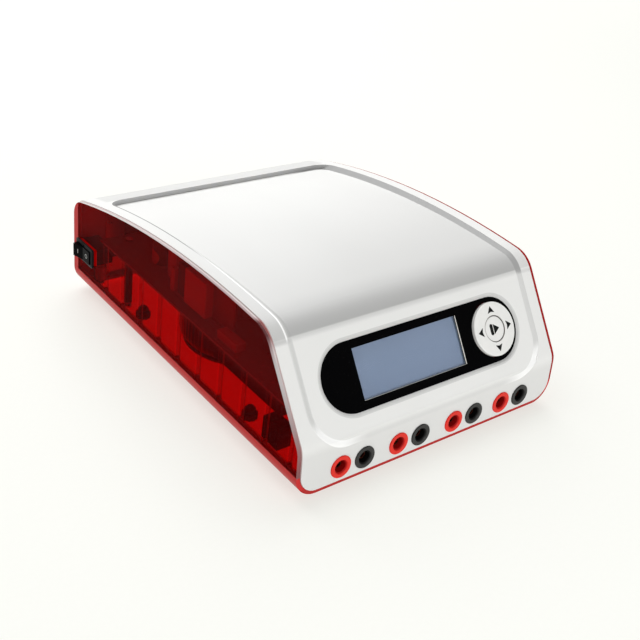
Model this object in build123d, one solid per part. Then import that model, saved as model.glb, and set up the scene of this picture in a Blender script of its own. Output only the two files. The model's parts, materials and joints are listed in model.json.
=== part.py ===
from build123d import *
import math
import os

# Electrophoresis power supply: a clear red tub, a white curved cover set between its
# walls, a sloping display panel and four pairs of shrouded 4 mm output sockets.
# Millimetres. X runs right, Y runs back, Z runs up. Sizes below are set on the tub:
# X = 0 is its middle, Z = 0 its underside, Y = 0 the socket strip at socket height.

# Tub
width = 227.0
depth = 293.0
wall = 2.9
lower_round = 16.0
rib_count = 11
rib_first_y = 14.0
rib_pitch = 26.2
rib_thickness = 1.8
rib_reach = 3.6

# Side outline of the tub's rim, which the cover follows
socket_height = 13.0
strip_lean = 4.5
crease_height = 33.9
slant_angle = 35.5
arch_apex_setback = 189.0
arch_apex_z = 97.2
front_top_round = 21.0
rear_top_round = 14.0
rear_lower_round = 5.0
crease_round = 14.0

# Cover
cover_wall = 2.6
cover_proud = 0.9
cover_gap = 0.15
recess_side_margin = 12.2
recess_slope = 4.2
recess_rear_margin = 28.5
recess_depth_rear = 3.6
recess_depth_mid = 2.8
recess_depth_front = 0.9
recess_rear_round = 13.0
recess_spans = 3
recess_front_round = 27.0
boss_side_inset = 19.5
boss_radius = 4.5
boss_height = 14.0
boss_inset = 6.0
screw_radius = 1.45
screw_hole_gap = 0.05
screw_pass_gap = 0.35
screw_head_radius = 2.9
screw_head_height = 1.8

# Display panel, in the plane of the sloping face: u to the right, v up the slope
bezel_length = 169.0
bezel_height = 44.3
bezel_v = 32.4
bezel_thickness = 1.8
bezel_drop = 0.8
bezel_lip = 1.4
bezel_gap = 0.2
bezel_ledge = 2.6
ledge_pad = 3.0
lcd_length = 89.4
lcd_height = 33.4
lcd_u = -11.75
lcd_window_thickness = 1.1
lcd_window_lap = 1.8
lcd_module_depth = 8.0
lcd_module_margin = 2.2
board_thickness = 1.6
display_board_height = 38.8
display_board_left = 5.0
display_board_right = 20.5

# Navigation ring and run button
ring_radius = 19.15
ring_height = 3.2
ring_gap = 0.5
ring_skirt = 6.6
ring_edge = 0.9
ring_tilt_room = 0.75
button_radius = 8.75
button_gap = 0.4
button_flange = 1.65
button_stem_radius = 3.0
button_travel = 0.5
key_size = 6.0
key_body_height = 3.5
plunger_radius = 1.75
key_ring_radius = 14.5

# Output sockets
pair_count = 4
pair_left_inset = 42.9
pair_right_inset = 42.6
third_pair_shift = 1.67
socket_pitch = 19.0
socket_flange_radius = 7.85
socket_proud = 0.8
socket_body_radius = 6.0
socket_bore_radius = 4.2
socket_body_length = 18.0
socket_chamfer = 1.1
contact_bore_radius = 2.03
contact_wall = 0.55
contact_length = 16.0
contact_base = 2.0
contact_base_gap = 0.1
contact_floor = 1.5
contact_tail_radius = 1.1
contact_tail_length = 6.0
nut_across_flats = 15.0
nut_thickness = 3.0
output_board_setback = 24.0
output_board_height = 20.0
output_board_rise = 3.4
output_board_inset = 25.5

# Power switch, high on the rear of the left wall
switch_setback = 20.0
switch_z = 36.5
switch_length = 26.0
switch_height = 15.0
switch_frame = 1.6
switch_body_depth = 16.0
switch_body_margin = 1.3
rocker_half_length = 9.8
rocker_height = 10.2
rocker_tilt = 9.0
rocker_end_rise = 3.4
rocker_gap = 0.4
rocker_pin_radius = 1.2
rocker_pin_length = 0.9
pivot_gap = 0.05

# Rear panel, mains inlet and fan
panel_side_room = 25.5
panel_height = 52.0
panel_head_room = 13.89
panel_thickness = 1.2
panel_bottom = 5.0
panel_lap = 5.0
panel_screw_length = 6.0
fan_screw_length = 12.0
inlet_inset = 30.0
inlet_width = 32.0
inlet_flange = 2.2
inlet_body_depth = 24.0
connector_width = 24.0
connector_height = 16.4
connector_depth = 17.0
connector_floor = 4.2
pin_setback = 4.6
drawer_width = 22.0
drawer_height = 8.4
drawer_depth = 15.0
drawer_roof = 4.4
drawer_gap = 0.3
fuse_radius = 2.6
fuse_length = 20.0
fan_inset = 40.0
fan_size = 40.0
fan_depth = 20.0
fan_bore_radius = 18.7
fan_hole_pitch = 32.0
fan_hub_radius = 9.0
fan_blade_count = 7
fan_tip_gap = 0.6
fan_shaft_radius = 1.5
grille_radii = [6.0, 10.4, 14.8]
grille_slot = 3.2
grille_bar = 2.4
vent_inset = 20.0
vent_fan_room = 4.0
vent_pitch = 8.0
vent_length = 26.0
vent_width = 3.2

# Main board, which lies on the rib tops
board_z = 53.0
board_front_y = 22.0
board_rear_room = 37.0
board_notch_y = 54.0
board_arm_width = 21.5
board_gap = 0.4
board_lift = 0.1
spacer_across_flats = 6.0
spacer_left_inset = 48.5
spacer_right_inset = 47.5
spacer_front_edge = 8.0
spacer_rear_edge = 10.0

# What the main board carries
relay_x = [-78.0, -52.0, 24.0, 50.0]
relay_setback = 18.0
relay_length = 19.0
relay_width = 15.5
large_can_x = [-30.0, 6.0]
large_can_edge = 44.0
large_can_radius = 15.0
large_can_height = 26.0
small_can_inset = 29.5
small_can_edges = [48.0, 70.0]
small_can_radius = 9.0
small_can_height = 24.0
can_round = 1.5
core_inset = 43.5
core_y = 122.0
core_length = 42.0
core_width = 15.0
core_height = 32.0
winding_length = 28.0
winding_width = 32.0
winding_height = 22.0
winding_round = 6.0
card_inset = 15.5
card_front_y = 96.0
card_length = 72.0
card_height = 30.0
card_socket_width = 6.0
card_socket_height = 4.0
card_socket_margin = 2.0
heatsink_inset = 18.5
heatsink_front_y = 44.0
heatsink_length = 78.0
heatsink_width = 25.8
heatsink_height = 26.5
heatsink_back = 4.0
fin_count = 4
fin_pitch = 7.2
fin_thickness = 2.4

# Mains transformer
toroid_x = -43.5
toroid_y = 166.0
toroid_radius = 44.0
toroid_bore_radius = 14.0
toroid_height = 40.0
toroid_round = 9.0
toroid_pad = 1.5
toroid_dish_radius = 27.0
toroid_dish = 2.0
toroid_bolt_radius = 3.0
bolt_across_flats = 10.0
bolt_head = 2.6
bolt_nut = 3.0
bolt_end = 0.2

# Feet
foot_side_inset = 26.5
foot_front_y = 86.0
foot_rear_inset = 62.0
foot_radius = 5.6
foot_height = 4.0
foot_stem_radius = 3.0
foot_flutes = 10

# Derived places
half = width / 2
cover_half = half - wall - cover_gap
floor_top = wall
rear_height = panel_bottom + panel_height + panel_head_room
arch_drop = arch_apex_z - rear_height
arch_radius = (arch_apex_setback**2 + arch_drop**2) / (2 * arch_drop)
arch_apex_y = depth - arch_apex_setback
recess_half_width = half - recess_side_margin
recess_rear_y = depth - recess_rear_margin
boss_x = half - boss_side_inset
foot_x = half - foot_side_inset
foot_rear_y = depth - foot_rear_inset
lean = math.radians(strip_lean)
slant = math.radians(slant_angle)
strip_bottom_y = -socket_height * math.tan(lean)
crease_y = (crease_height - socket_height) * math.tan(lean)
pair_first_x = -half + pair_left_inset
pair_pitch = (width - pair_left_inset - pair_right_inset) / (pair_count - 1)
output_board_length = width - 2 * output_board_inset
switch_y = depth - switch_setback
pivot_x = -half - switch_frame + 0.6
panel_length = width - 2 * panel_side_room
panel_y = depth + cover_proud - cover_wall
panel_z = panel_bottom + panel_height / 2
inlet_x = -panel_length / 2 + inlet_inset
inlet_height = panel_height - 2 * panel_lap
connector_drop = inlet_height / 2 - connector_floor - connector_height / 2
drawer_rise = inlet_height / 2 - drawer_roof - drawer_height / 2
vent_first_x = inlet_x + inlet_width / 2 + vent_inset
fan_x = panel_length / 2 - fan_inset
vent_room = fan_x - fan_size / 2 - vent_fan_room - vent_first_x
vent_count = int(vent_room / vent_pitch) + 1
board_low = board_z + board_lift
board_top = board_z + board_thickness
board_rear_y = depth - board_rear_room
board_notch_half = half - board_arm_width
spacer_front_y = board_notch_y + spacer_front_edge
spacer_rear_y = board_rear_y - spacer_rear_edge

strip_plane = Plane(
    origin=(0, 0, socket_height),
    x_dir=(1, 0, 0),
    z_dir=(0, -math.cos(lean), math.sin(lean)),
)
slant_plane = Plane(
    origin=(0, crease_y, crease_height),
    x_dir=(1, 0, 0),
    z_dir=(0, -math.cos(slant), math.sin(slant)),
)

# Levels along the outward normal of the sloping face
recess_level = cover_proud - recess_depth_front
bezel_face = recess_level - bezel_drop
bezel_back = bezel_face - bezel_thickness
ledge_back = bezel_back - 2.0
board_face = bezel_back - lcd_module_depth - 0.4
ring_top = bezel_face + ring_height
ring_bottom = ring_top - ring_skirt
ring_u = bezel_length / 2 - bezel_height / 2
pad_top = ring_bottom - ring_tilt_room
ring_key_top = ring_bottom - ring_tilt_room
button_top = ring_top - 0.3
button_flange_top = ring_top - 3.6
centre_key_top = ring_bottom - 2.4


def arch_z(y):
    """Height of the arched top of the rim."""
    return arch_apex_z - arch_radius + math.sqrt(arch_radius**2 - (y - arch_apex_y) ** 2)


def slant_meets_arch():
    """Where the sloping face's line reaches the arch."""
    dy, dz = math.sin(slant), math.cos(slant)
    py, pz = crease_y - arch_apex_y, crease_height - (arch_apex_z - arch_radius)
    b = py * dy + pz * dz
    s = -b + math.sqrt(b * b - (py * py + pz * pz - arch_radius**2))
    return crease_y + s * dy, crease_height + s * dz


def side_outline(grow=0.0):
    """Closed side outline of the rim on the YZ plane, grown outwards."""
    top_y, top_z = slant_meets_arch()
    front = Polyline(
        (depth, arch_z(depth)),
        (depth, 0),
        (strip_bottom_y, 0),
        (crease_y, crease_height),
        (top_y, top_z),
    )
    middle_y = (top_y + depth) / 2
    arch = ThreePointArc((top_y, top_z), (middle_y, arch_z(middle_y)), (depth, arch_z(depth)))
    face = make_face([*front.edges(), *arch.edges()])
    for place, radius in (
        ((depth, arch_z(depth)), rear_top_round),
        ((depth, 0), rear_lower_round),
        ((crease_y, crease_height), crease_round),
        ((top_y, top_z), front_top_round),
    ):
        corner = face.vertices().sort_by_distance((place[0], place[1], 0))[0]
        face = fillet(corner, radius)
    if grow:
        face = offset(face, amount=grow, kind=Kind.INTERSECTION)
    return face


def side_prism(grow=0.0, half_width=half):
    """Side outline extruded across the width."""
    return extrude(Plane.YZ * side_outline(grow), amount=half_width, both=True)


def tub_prism(inset=0.0):
    """Long prism along Y with the tub's rounded lower corners, inset all round."""
    high = 2 * arch_apex_z
    face = Pos(0, high / 2 + inset) * Rectangle(width - 2 * inset, high)
    corners = face.vertices().group_by(Axis.Y)[0]
    face = fillet(corners, lower_round - inset)
    return extrude(Plane.XZ * face, amount=depth * 2, both=True)


def group(shapes):
    """Several separate solids kept together as one piece of the object."""
    return Compound([solid for shape in shapes for solid in shape.solids()])


def box_between(low, high):
    """Box from its low corner to its high corner."""
    size = [b - a for a, b in zip(low, high)]
    middle = [(a + b) / 2 for a, b in zip(low, high)]
    return Pos(*middle) * Box(*size)


def rod(radius, start, end):
    """Upright or lying round bar between two points."""
    line = Vector(*end) - Vector(*start)
    plane = Plane(origin=start, z_dir=line)
    return plane * extrude(Circle(radius), amount=line.length)


def on_slant(shape, u=0.0, v=0.0, n=0.0):
    """Place a shape made about the origin on the sloping face."""
    return slant_plane * Pos(u, v, n) * shape


def on_strip(shape, u=0.0, n=0.0):
    """Place a shape made about the origin at socket height on the strip."""
    return strip_plane * Pos(u, 0, n) * shape


def stadium(length, height):
    """Slot-shaped face with full round ends."""
    return RectangleRounded(length, height, height / 2 - 0.001)


# Places that repeat
socket_places = []
pair_centres = [pair_first_x + index * pair_pitch for index in range(pair_count)]
pair_centres[2] += third_pair_shift
for pair, centre in enumerate(pair_centres, start=1):
    socket_places.append((f"red_socket_{pair}", centre - socket_pitch / 2))
    socket_places.append((f"black_socket_{pair}", centre + socket_pitch / 2))
boss_places = []
for side_x in (-boss_x, boss_x):
    boss_places.append((side_x, boss_inset))
    boss_places.append((side_x, depth - boss_inset))
panel_screw_places = []
for side_x in (-1, 1):
    for side_z in (-1, 1):
        x = side_x * (panel_length / 2 - panel_lap / 2)
        z = panel_z + side_z * (panel_height / 2 - 8)
        panel_screw_places.append((x, z))
foot_places = {
    "foot_front_left": (-foot_x, foot_front_y),
    "foot_front_right": (foot_x, foot_front_y),
    "foot_rear_left": (-foot_x, foot_rear_y),
    "foot_rear_right": (foot_x, foot_rear_y),
}
spacer_places = [(-half + spacer_left_inset, spacer_front_y), (half - spacer_right_inset, spacer_front_y)]
spacer_places += [(x, spacer_rear_y) for x in (-board_notch_half, board_notch_half)]


def make_red_shell():
    """Floor and two side walls in one moulding, with ribs inside the walls."""
    outer = side_prism() & tub_prism()
    shell = outer - tub_prism(wall)
    inner = half - wall
    rib_room = outer & side_prism(cover_proud - cover_wall - 0.3)
    for index in range(rib_count):
        y = rib_first_y + index * rib_pitch
        for side in (-1, 1):
            rib = box_between(
                (-inner - 0.5, y - rib_thickness / 2, 1.0),
                (-inner + rib_reach, y + rib_thickness / 2, board_z),
            )
            if side > 0:
                rib = mirror(rib, about=Plane.YZ)
            clears_switch = side > 0 or abs(y - switch_y) > switch_length / 2 + rib_thickness
            if clears_switch:
                shell += rib & rib_room
    for x, y in boss_places:
        shell -= rod(screw_radius + screw_pass_gap, (x, y, -1), (x, y, floor_top + 1))
    for x, y in foot_places.values():
        shell -= rod(foot_stem_radius, (x, y, -1), (x, y, floor_top + 1))
    for x, y in spacer_places:
        shell -= rod(screw_radius + screw_pass_gap, (x, y, -1), (x, y, floor_top + 1))
    shell -= rod(
        toroid_bolt_radius + screw_pass_gap,
        (toroid_x, toroid_y, -1),
        (toroid_x, toroid_y, floor_top + 1),
    )
    shell -= switch_body(-0.1)
    return shell


def recess_face(depth_rear, depth_mid, depth_front, rear_y):
    """Region above the floor of the cover's recess, on the YZ plane."""
    base = cover_proud
    top_y, top_z = slant_meets_arch()
    high = arch_apex_z + 40
    dy, dz = math.sin(slant), math.cos(slant)
    rear = (rear_y, arch_z(rear_y) + base - depth_rear)
    middle_y = (rear_y + top_y) / 2
    middle = (middle_y, arch_z(middle_y) + base - depth_mid)
    normal_shift = base - depth_front
    corner = (top_y - normal_shift * dz * 0.5, top_z + normal_shift - depth_front * 0.4)
    low_s = -30.0
    start_y = crease_y + low_s * dy - normal_shift * dz
    start_z = crease_height + low_s * dz + normal_shift * dy
    run = (corner[1] - start_z) / dz
    corner = (start_y + run * dy, start_z + run * dz)
    whole_arc = ThreePointArc(corner, middle, rear)
    step = 1 / recess_spans
    floor_arcs = []
    for index in range(recess_spans):
        points = [whole_arc @ ((index + part) * step) for part in (0, 0.5, 1)]
        floor_arcs.append(ThreePointArc(*points))
    frame = Polyline(rear, (rear_y, high), (-60, high), (-60, start_z), (start_y, start_z), corner)
    arc_edges = [edge for arc in floor_arcs for edge in arc.edges()]
    face = make_face([*arc_edges, *frame.edges()])
    bend = face.vertices().sort_by_distance((corner[0], corner[1], 0))[0]
    return fillet(bend, front_top_round)


def recess_tool(grow=0.0):
    """Cutter for the cover's recess: sloping walls at the sides, round plan corners."""
    inner_half = recess_half_width - recess_slope + grow
    floor_face = Plane.YZ * recess_face(
        recess_depth_rear + grow,
        recess_depth_mid + grow,
        recess_depth_front + grow,
        recess_rear_y + grow,
    )
    tool = extrude(floor_face, amount=inner_half, both=True)
    rim_face = Plane.YZ * recess_face(
        -0.3 + grow, -0.3 + grow, -0.3 + grow, recess_rear_y + grow
    )
    near = Pos(-inner_half, 0, 0) * floor_face
    far = Pos(-inner_half - recess_slope, 0, 0) * rim_face
    slope = loft([near, far], ruled=True)
    return tool + slope + mirror(slope, about=Plane.YZ)


def recess_plan(grow=0.0):
    """Prisms that round the recess's plan corners, upright and square to the slope."""
    across = 2 * (recess_half_width + grow)
    long = 3 * depth
    rear = Pos(0, recess_rear_y + grow - long / 2) * Rectangle(across, long)
    rear = fillet(rear.vertices().group_by(Axis.Y)[-1], recess_rear_round + grow)
    upright = extrude(Pos(0, 0, -depth) * rear, amount=2 * depth)
    front = Pos(0, long / 2 - 7.0 - grow) * Rectangle(across, long)
    front = fillet(front.vertices().group_by(Axis.Y)[0], recess_front_round + grow)
    square = on_slant(Pos(0, 0, -depth) * extrude(front, amount=2 * depth))
    return upright, square


def make_top_cover():
    """White cover: front strip, sloping face, arched top and rear wall in one skin."""
    limits = tub_prism(wall + cover_gap)
    outer = side_prism(cover_proud, cover_half) & limits
    inner = side_prism(cover_proud - cover_wall, cover_half + 1)
    upright, square = recess_plan()
    tool = recess_tool() & upright & square
    upright, square = recess_plan(cover_wall)
    backing = recess_tool(cover_wall) & upright & square
    cover = outer - inner + (backing & outer) - tool
    pad = on_slant(
        extrude(stadium(bezel_length + 2 * ledge_pad, bezel_height + 2 * ledge_pad), 8.0),
        v=bezel_v,
        n=ledge_back,
    )
    cover += pad & side_prism(0, cover_half)
    cover -= tool
    for x, y in boss_places:
        boss = rod(boss_radius, (x, y, floor_top + cover_gap), (x, y, boss_height))
        cover += boss & outer
        cover -= rod(screw_radius + screw_hole_gap, (x, y, 0), (x, y, boss_height - 2))
    seat = stadium(bezel_length + 2 * bezel_gap, bezel_height + 2 * bezel_gap)
    pocket = extrude(seat, bezel_thickness + bezel_drop + 6)
    cover -= on_slant(pocket, v=bezel_v, n=bezel_back)
    lip_low = stadium(bezel_length + 2 * bezel_gap, bezel_height + 2 * bezel_gap)
    lip_high = stadium(bezel_length + 2 * bezel_lip + 2, bezel_height + 2 * bezel_lip + 2)
    lip = loft([lip_low, Pos(0, 0, bezel_drop + 0.6) * lip_high], ruled=True)
    cover -= on_slant(lip, v=bezel_v, n=bezel_face)
    opening = stadium(bezel_length - 2 * bezel_ledge, bezel_height - 2 * bezel_ledge)
    cover -= on_slant(extrude(opening, 20), v=bezel_v, n=ledge_back - 5)
    for _, x in socket_places:
        cover -= on_strip(extrude(Circle(socket_body_radius + 0.1), 12, both=True), u=x)
    window = Rectangle(panel_length - 2 * panel_lap, panel_height - 2 * panel_lap)
    window = fillet(window.vertices(), 3)
    cover -= Pos(0, depth + 5, panel_z) * extrude(Plane.XZ * window, amount=12, both=True)
    for x, z in panel_screw_places:
        cover -= rod(screw_radius + screw_pass_gap, (x, depth - 8, z), (x, depth + 5, z))
    return cover


def make_display_bezel():
    """Black gloss stadium plate with the display opening and the ring's round hole."""
    plate = extrude(stadium(bezel_length, bezel_height), bezel_thickness)
    plate -= Pos(lcd_u, 0, 0) * extrude(Rectangle(lcd_length, lcd_height), 10, both=True)
    pocket = Rectangle(lcd_length + 2 * lcd_window_lap + 0.4, lcd_height + 2 * lcd_window_lap + 0.4)
    plate -= Pos(lcd_u, 0, -1) * extrude(pocket, 1 + lcd_window_thickness + 0.05)
    plate -= Pos(ring_u, 0, 0) * extrude(Circle(ring_radius + ring_gap), 10, both=True)
    return on_slant(plate, v=bezel_v, n=bezel_back)


def make_lcd_window():
    """Clear window held in the pocket behind the display opening."""
    face = Rectangle(lcd_length + 2 * lcd_window_lap, lcd_height + 2 * lcd_window_lap)
    return on_slant(extrude(face, lcd_window_thickness), u=lcd_u, v=bezel_v, n=bezel_back)


def make_lcd_module():
    """Liquid crystal module: glass in a metal frame with side tabs."""
    length = lcd_length + 2 * lcd_module_margin
    height = lcd_height + 2 * lcd_module_margin
    body = Box(length, height, lcd_module_depth - 0.4, align=(Align.CENTER, Align.CENTER, Align.MIN))
    view = Rectangle(lcd_length - 2, lcd_height - 2)
    body -= Pos(0, 0, lcd_module_depth - 0.9) * extrude(view, 2)
    return on_slant(body, u=lcd_u, v=bezel_v, n=board_face + 0.2)


def make_display_board():
    """Circuit board behind the sloping face, on four posts of the cover's pad."""
    left = lcd_u - lcd_length / 2 - display_board_left
    right = ring_u + display_board_right
    high = display_board_height / 2
    board = box_between((left, -high, -board_thickness), (right, high, 0))
    return on_slant(board, v=bezel_v, n=board_face)


def make_key_switches():
    """Four push keys under the ring and one under the run button."""
    keys = []
    places = [(key_ring_radius * math.cos(a), key_ring_radius * math.sin(a)) for a in
              (0, math.pi / 2, math.pi, 3 * math.pi / 2)]
    for du, dv in places + [(0, 0)]:
        top = centre_key_top if (du, dv) == (0, 0) else ring_key_top
        body = Box(key_size, key_size, key_body_height, align=(Align.CENTER, Align.CENTER, Align.MIN))
        stem = rod(plunger_radius, (0, 0, key_body_height - 0.5), (0, 0, top - board_face))
        keys.append(on_slant(body + stem, u=ring_u + du, v=bezel_v + dv, n=board_face))
    return group(keys)


def make_navigation_ring():
    """White four-way ring with rounded rims and a stepped bore for the run button."""
    low, high = ring_bottom, ring_top
    step = button_flange_top + 0.6
    bore = button_radius + button_gap
    wide = button_radius + button_flange + 0.6
    outline = Polyline(
        (bore, high), (ring_radius, high), (ring_radius, low), (wide, low), (wide, step), (bore, step),
        (bore, high),
    )
    face = make_face(outline.edges())
    rims = face.vertices().group_by(Axis.Y)[-1]
    face = fillet(rims.sort_by(Axis.X)[-1], ring_edge)
    ring = revolve(Plane.XZ * face, Axis.Z)
    return on_slant(ring, u=ring_u, v=bezel_v)


def make_ring_rubber_pad():
    """Silicone collar on which the ring rocks, with a shallow crown on top."""
    low = board_face + ring_tilt_room
    inner = button_stem_radius + 4.2
    outer = key_ring_radius - key_size / 2 - 0.5
    collar = extrude(Circle(outer) - Circle(inner), pad_top - low)
    return on_slant(Pos(0, 0, low) * collar, u=ring_u, v=bezel_v)


def make_run_button():
    """White round button in the ring's bore, with a retaining flange and a stem."""
    low = centre_key_top + button_travel + 0.3
    cap_bottom = button_flange_top - 1.0
    outline = Polyline(
        (0, low), (button_stem_radius, low), (button_stem_radius, cap_bottom),
        (button_radius + button_flange, cap_bottom), (button_radius + button_flange, button_flange_top),
        (button_radius, button_flange_top), (button_radius, button_top), (0, button_top), (0, low),
    )
    face = make_face(outline.edges())
    rim = face.vertices().sort_by_distance((button_radius, button_top, 0))[0]
    face = fillet(rim, 0.5)
    return on_slant(revolve(Plane.XZ * face, Axis.Z), u=ring_u, v=bezel_v)


def make_socket(x):
    """Shrouded socket insulator: flange ring, threaded body and deep round bore."""
    back = -socket_body_length
    face_n = cover_proud + socket_proud
    outline = Polyline(
        (socket_bore_radius + socket_chamfer, face_n), (socket_flange_radius, face_n),
        (socket_flange_radius, cover_proud), (socket_body_radius, cover_proud),
        (socket_body_radius, back), (socket_bore_radius, back),
        (socket_bore_radius, face_n - socket_chamfer), (socket_bore_radius + socket_chamfer, face_n),
    )
    face = make_face(outline.edges())
    rim = face.vertices().sort_by_distance((socket_flange_radius, face_n, 0))[0]
    face = fillet(rim, 0.5)
    return on_strip(revolve(Plane.XZ * face, Axis.Z), u=x)


def make_socket_contacts():
    """Brass tubes for 4 mm plugs, each on a round base with a solder tail behind."""
    contacts = []
    back = -socket_body_length
    seat = back + contact_base
    front = back + contact_length
    tail = back - contact_tail_length
    base = socket_bore_radius - contact_base_gap
    outer = contact_bore_radius + contact_wall
    for _, x in socket_places:
        outline = Polyline(
            (0, tail), (contact_tail_radius, tail), (contact_tail_radius, back), (base, back),
            (base, seat), (outer, seat), (outer, front), (contact_bore_radius, front),
            (contact_bore_radius, seat + contact_floor), (0, seat + contact_floor), (0, tail),
        )
        face = make_face(outline.edges())
        contacts.append(on_strip(revolve(Plane.XZ * face, Axis.Z), u=x))
    return group(contacts)


def make_socket_nuts():
    """Hexagon nuts that clamp the sockets behind the strip."""
    nuts = []
    inside = cover_proud - cover_wall
    for _, x in socket_places:
        face = RegularPolygon(nut_across_flats / 2, 6, major_radius=False)
        face -= Circle(socket_body_radius + 0.05)
        nuts.append(on_strip(Pos(0, 0, inside - nut_thickness) * extrude(face, nut_thickness), u=x))
    return group(nuts)


def make_output_board():
    """Strip of circuit board that takes the socket tails."""
    level = -output_board_setback + cover_proud
    board = Rectangle(output_board_length, output_board_height)
    plate = extrude(Pos(0, output_board_rise) * board, board_thickness)
    for _, x in socket_places:
        plate -= Pos(x, 0, 0) * extrude(Circle(contact_tail_radius + 0.05), 10, both=True)
    return on_strip(plate, n=level)


def switch_body(grow):
    """Block of the switch that passes through the wall's cut-out."""
    length = switch_length - 2 * switch_body_margin - 2 * grow
    height = switch_height - 2 * switch_body_margin - 2 * grow
    return box_between(
        (-half - 2, switch_y - length / 2, switch_z - height / 2),
        (-half + switch_body_depth, switch_y + length / 2, switch_z + height / 2),
    )


def make_switch_housing():
    """Switch frame and body, open outwards, with two pivot holes for the rocker."""
    frame = Rectangle(switch_length, switch_height)
    frame = fillet(frame.vertices(), 1.5)
    housing = Pos(-half, switch_y, switch_z) * extrude(Plane.YZ * frame, amount=-switch_frame)
    housing += switch_body(0)
    reach = math.hypot(rocker_half_length, rocker_end_rise) + rocker_gap
    tall = rocker_height + 2 * rocker_gap
    deep = rocker_half_length * math.sin(math.radians(2 * rocker_tilt)) + 2.5
    housing -= box_between(
        (-half - 5, switch_y - reach, switch_z - tall / 2),
        (pivot_x + deep, switch_y + reach, switch_z + tall / 2),
    )
    pin = rocker_height / 2 + rocker_pin_length + 0.2
    housing -= rod(
        rocker_pin_radius + pivot_gap, (pivot_x, switch_y, switch_z - pin), (pivot_x, switch_y, switch_z + pin)
    )
    return housing


def make_switch_rocker():
    """Two-faced rocker with its pivot pins, shown with its rear end out."""
    rise = rocker_end_rise
    valley = rise - rocker_half_length * math.tan(math.radians(rocker_tilt))
    end = math.hypot(rocker_half_length, rise)
    low = -1.6
    low_half = math.sqrt(end**2 - low**2)
    outline = [
        Line((-rocker_half_length, rise), (0, valley)),
        Line((0, valley), (rocker_half_length, rise)),
        ThreePointArc((rocker_half_length, rise), (end, 0), (low_half, low)),
        Line((low_half, low), (-low_half, low)),
        ThreePointArc((-low_half, low), (-end, 0), (-rocker_half_length, rise)),
    ]
    face = make_face(outline)
    bar = extrude(face, amount=rocker_height / 2, both=True)
    bar += extrude(Circle(rocker_pin_radius), amount=rocker_height / 2 + rocker_pin_length, both=True)
    bar = Rot(0, 0, rocker_tilt) * bar
    place = Plane(origin=(pivot_x, switch_y, switch_z), x_dir=(0, 1, 0), z_dir=(0, 0, 1))
    return place * bar


def make_switch_terminals():
    """Four blade terminals on the back of the switch."""
    blades = []
    start = -half + switch_body_depth
    for dy in (-6.5, 6.5):
        for dz in (-3.0, 3.0):
            blades.append(
                box_between(
                    (start, switch_y + dy - 2.4, switch_z + dz - 0.4),
                    (start + 8, switch_y + dy + 2.4, switch_z + dz + 0.4),
                )
            )
    return group(blades)


def make_rear_panel():
    """Steel panel inside the rear window, with a stamped fan grille and vent slots."""
    plate = Rectangle(panel_length, panel_height)
    plate -= Pos(inlet_x, 0) * Rectangle(inlet_width - 3.4, inlet_height - 3.4)
    for radius in grille_radii:
        plate -= Pos(fan_x, 0) * ring_slots(radius)
    for dx in (-1, 1):
        for dz in (-1, 1):
            spot = (fan_x + dx * fan_hole_pitch / 2, dz * fan_hole_pitch / 2)
            plate -= Pos(*spot) * Circle(screw_radius + screw_hole_gap)
    for index in range(vent_count):
        x = vent_first_x + index * vent_pitch
        plate -= Pos(x, 0) * SlotOverall(vent_length, vent_width, rotation=90)
    for x, z in panel_screw_places:
        plate -= Pos(x, z - panel_z) * Circle(screw_radius + screw_hole_gap)
    sheet = extrude(Plane.XZ * plate, amount=panel_thickness)
    return Pos(0, panel_y, panel_z) * sheet


def ring_slots(radius):
    """Four arc slots of one ring of the fan grille."""
    ring = Circle(radius + grille_slot / 2) - Circle(radius - grille_slot / 2)
    for angle in (45, 135):
        ring -= Rot(0, 0, angle) * Rectangle(4 * radius, grille_bar)
    return ring


def make_inlet_housing():
    """Mains inlet: flange, body, connector cavity with two cut corners, drawer slot."""
    flange = Rectangle(inlet_width, inlet_height)
    flange = fillet(flange.vertices(), 2)
    body = Rectangle(inlet_width - 4, inlet_height - 4)
    housing = extrude(Plane.XZ * flange, amount=-inlet_flange)
    housing += extrude(Plane.XZ * body, amount=inlet_body_depth)
    cavity = Rectangle(connector_width, connector_height)
    cavity = chamfer(cavity.vertices().group_by(Axis.Y)[-1], 4)
    cut = Pos(0, inlet_flange + 1, -connector_drop) * extrude(
        Plane.XZ * cavity, amount=connector_depth + inlet_flange + 1
    )
    housing -= cut
    slot = Rectangle(drawer_width + 2 * drawer_gap, drawer_height + 2 * drawer_gap)
    housing -= Pos(0, inlet_flange + 1, drawer_rise) * extrude(
        Plane.XZ * slot, amount=drawer_depth + inlet_flange + 1 + drawer_gap
    )
    return Pos(inlet_x, panel_y, panel_z) * housing


def make_inlet_pins():
    """Three contact blades that stand in the connector cavity."""
    pins = []
    floor_y = panel_y - connector_depth
    tip = panel_y + inlet_flange - pin_setback
    for dx, dz in ((-7.0, -2.0), (0.0, 2.4), (7.0, -2.0)):
        x = inlet_x + dx
        z = panel_z - connector_drop + dz
        pins.append(box_between((x - 1, floor_y, z - 2), (x + 1, tip, z + 2)))
    return group(pins)


def make_fuse_drawer():
    """Sliding tray for the fuse, with a finger notch in its front."""
    tray = box_between(
        (-drawer_width / 2, -drawer_depth, -drawer_height / 2),
        (drawer_width / 2, inlet_flange, drawer_height / 2),
    )
    pocket = fuse_radius * 2 + 0.3
    tray -= box_between(
        (-fuse_length / 2 - 0.2, -drawer_depth + 2, -fuse_radius - 0.1),
        (fuse_length / 2 + 0.2, -drawer_depth + 2 + pocket, drawer_height),
    )
    tray -= Pos(0, inlet_flange, 0) * Rot(90, 0, 0) * extrude(SlotOverall(9, 3), 1.0)
    return Pos(inlet_x, panel_y, panel_z + drawer_rise) * tray


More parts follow.
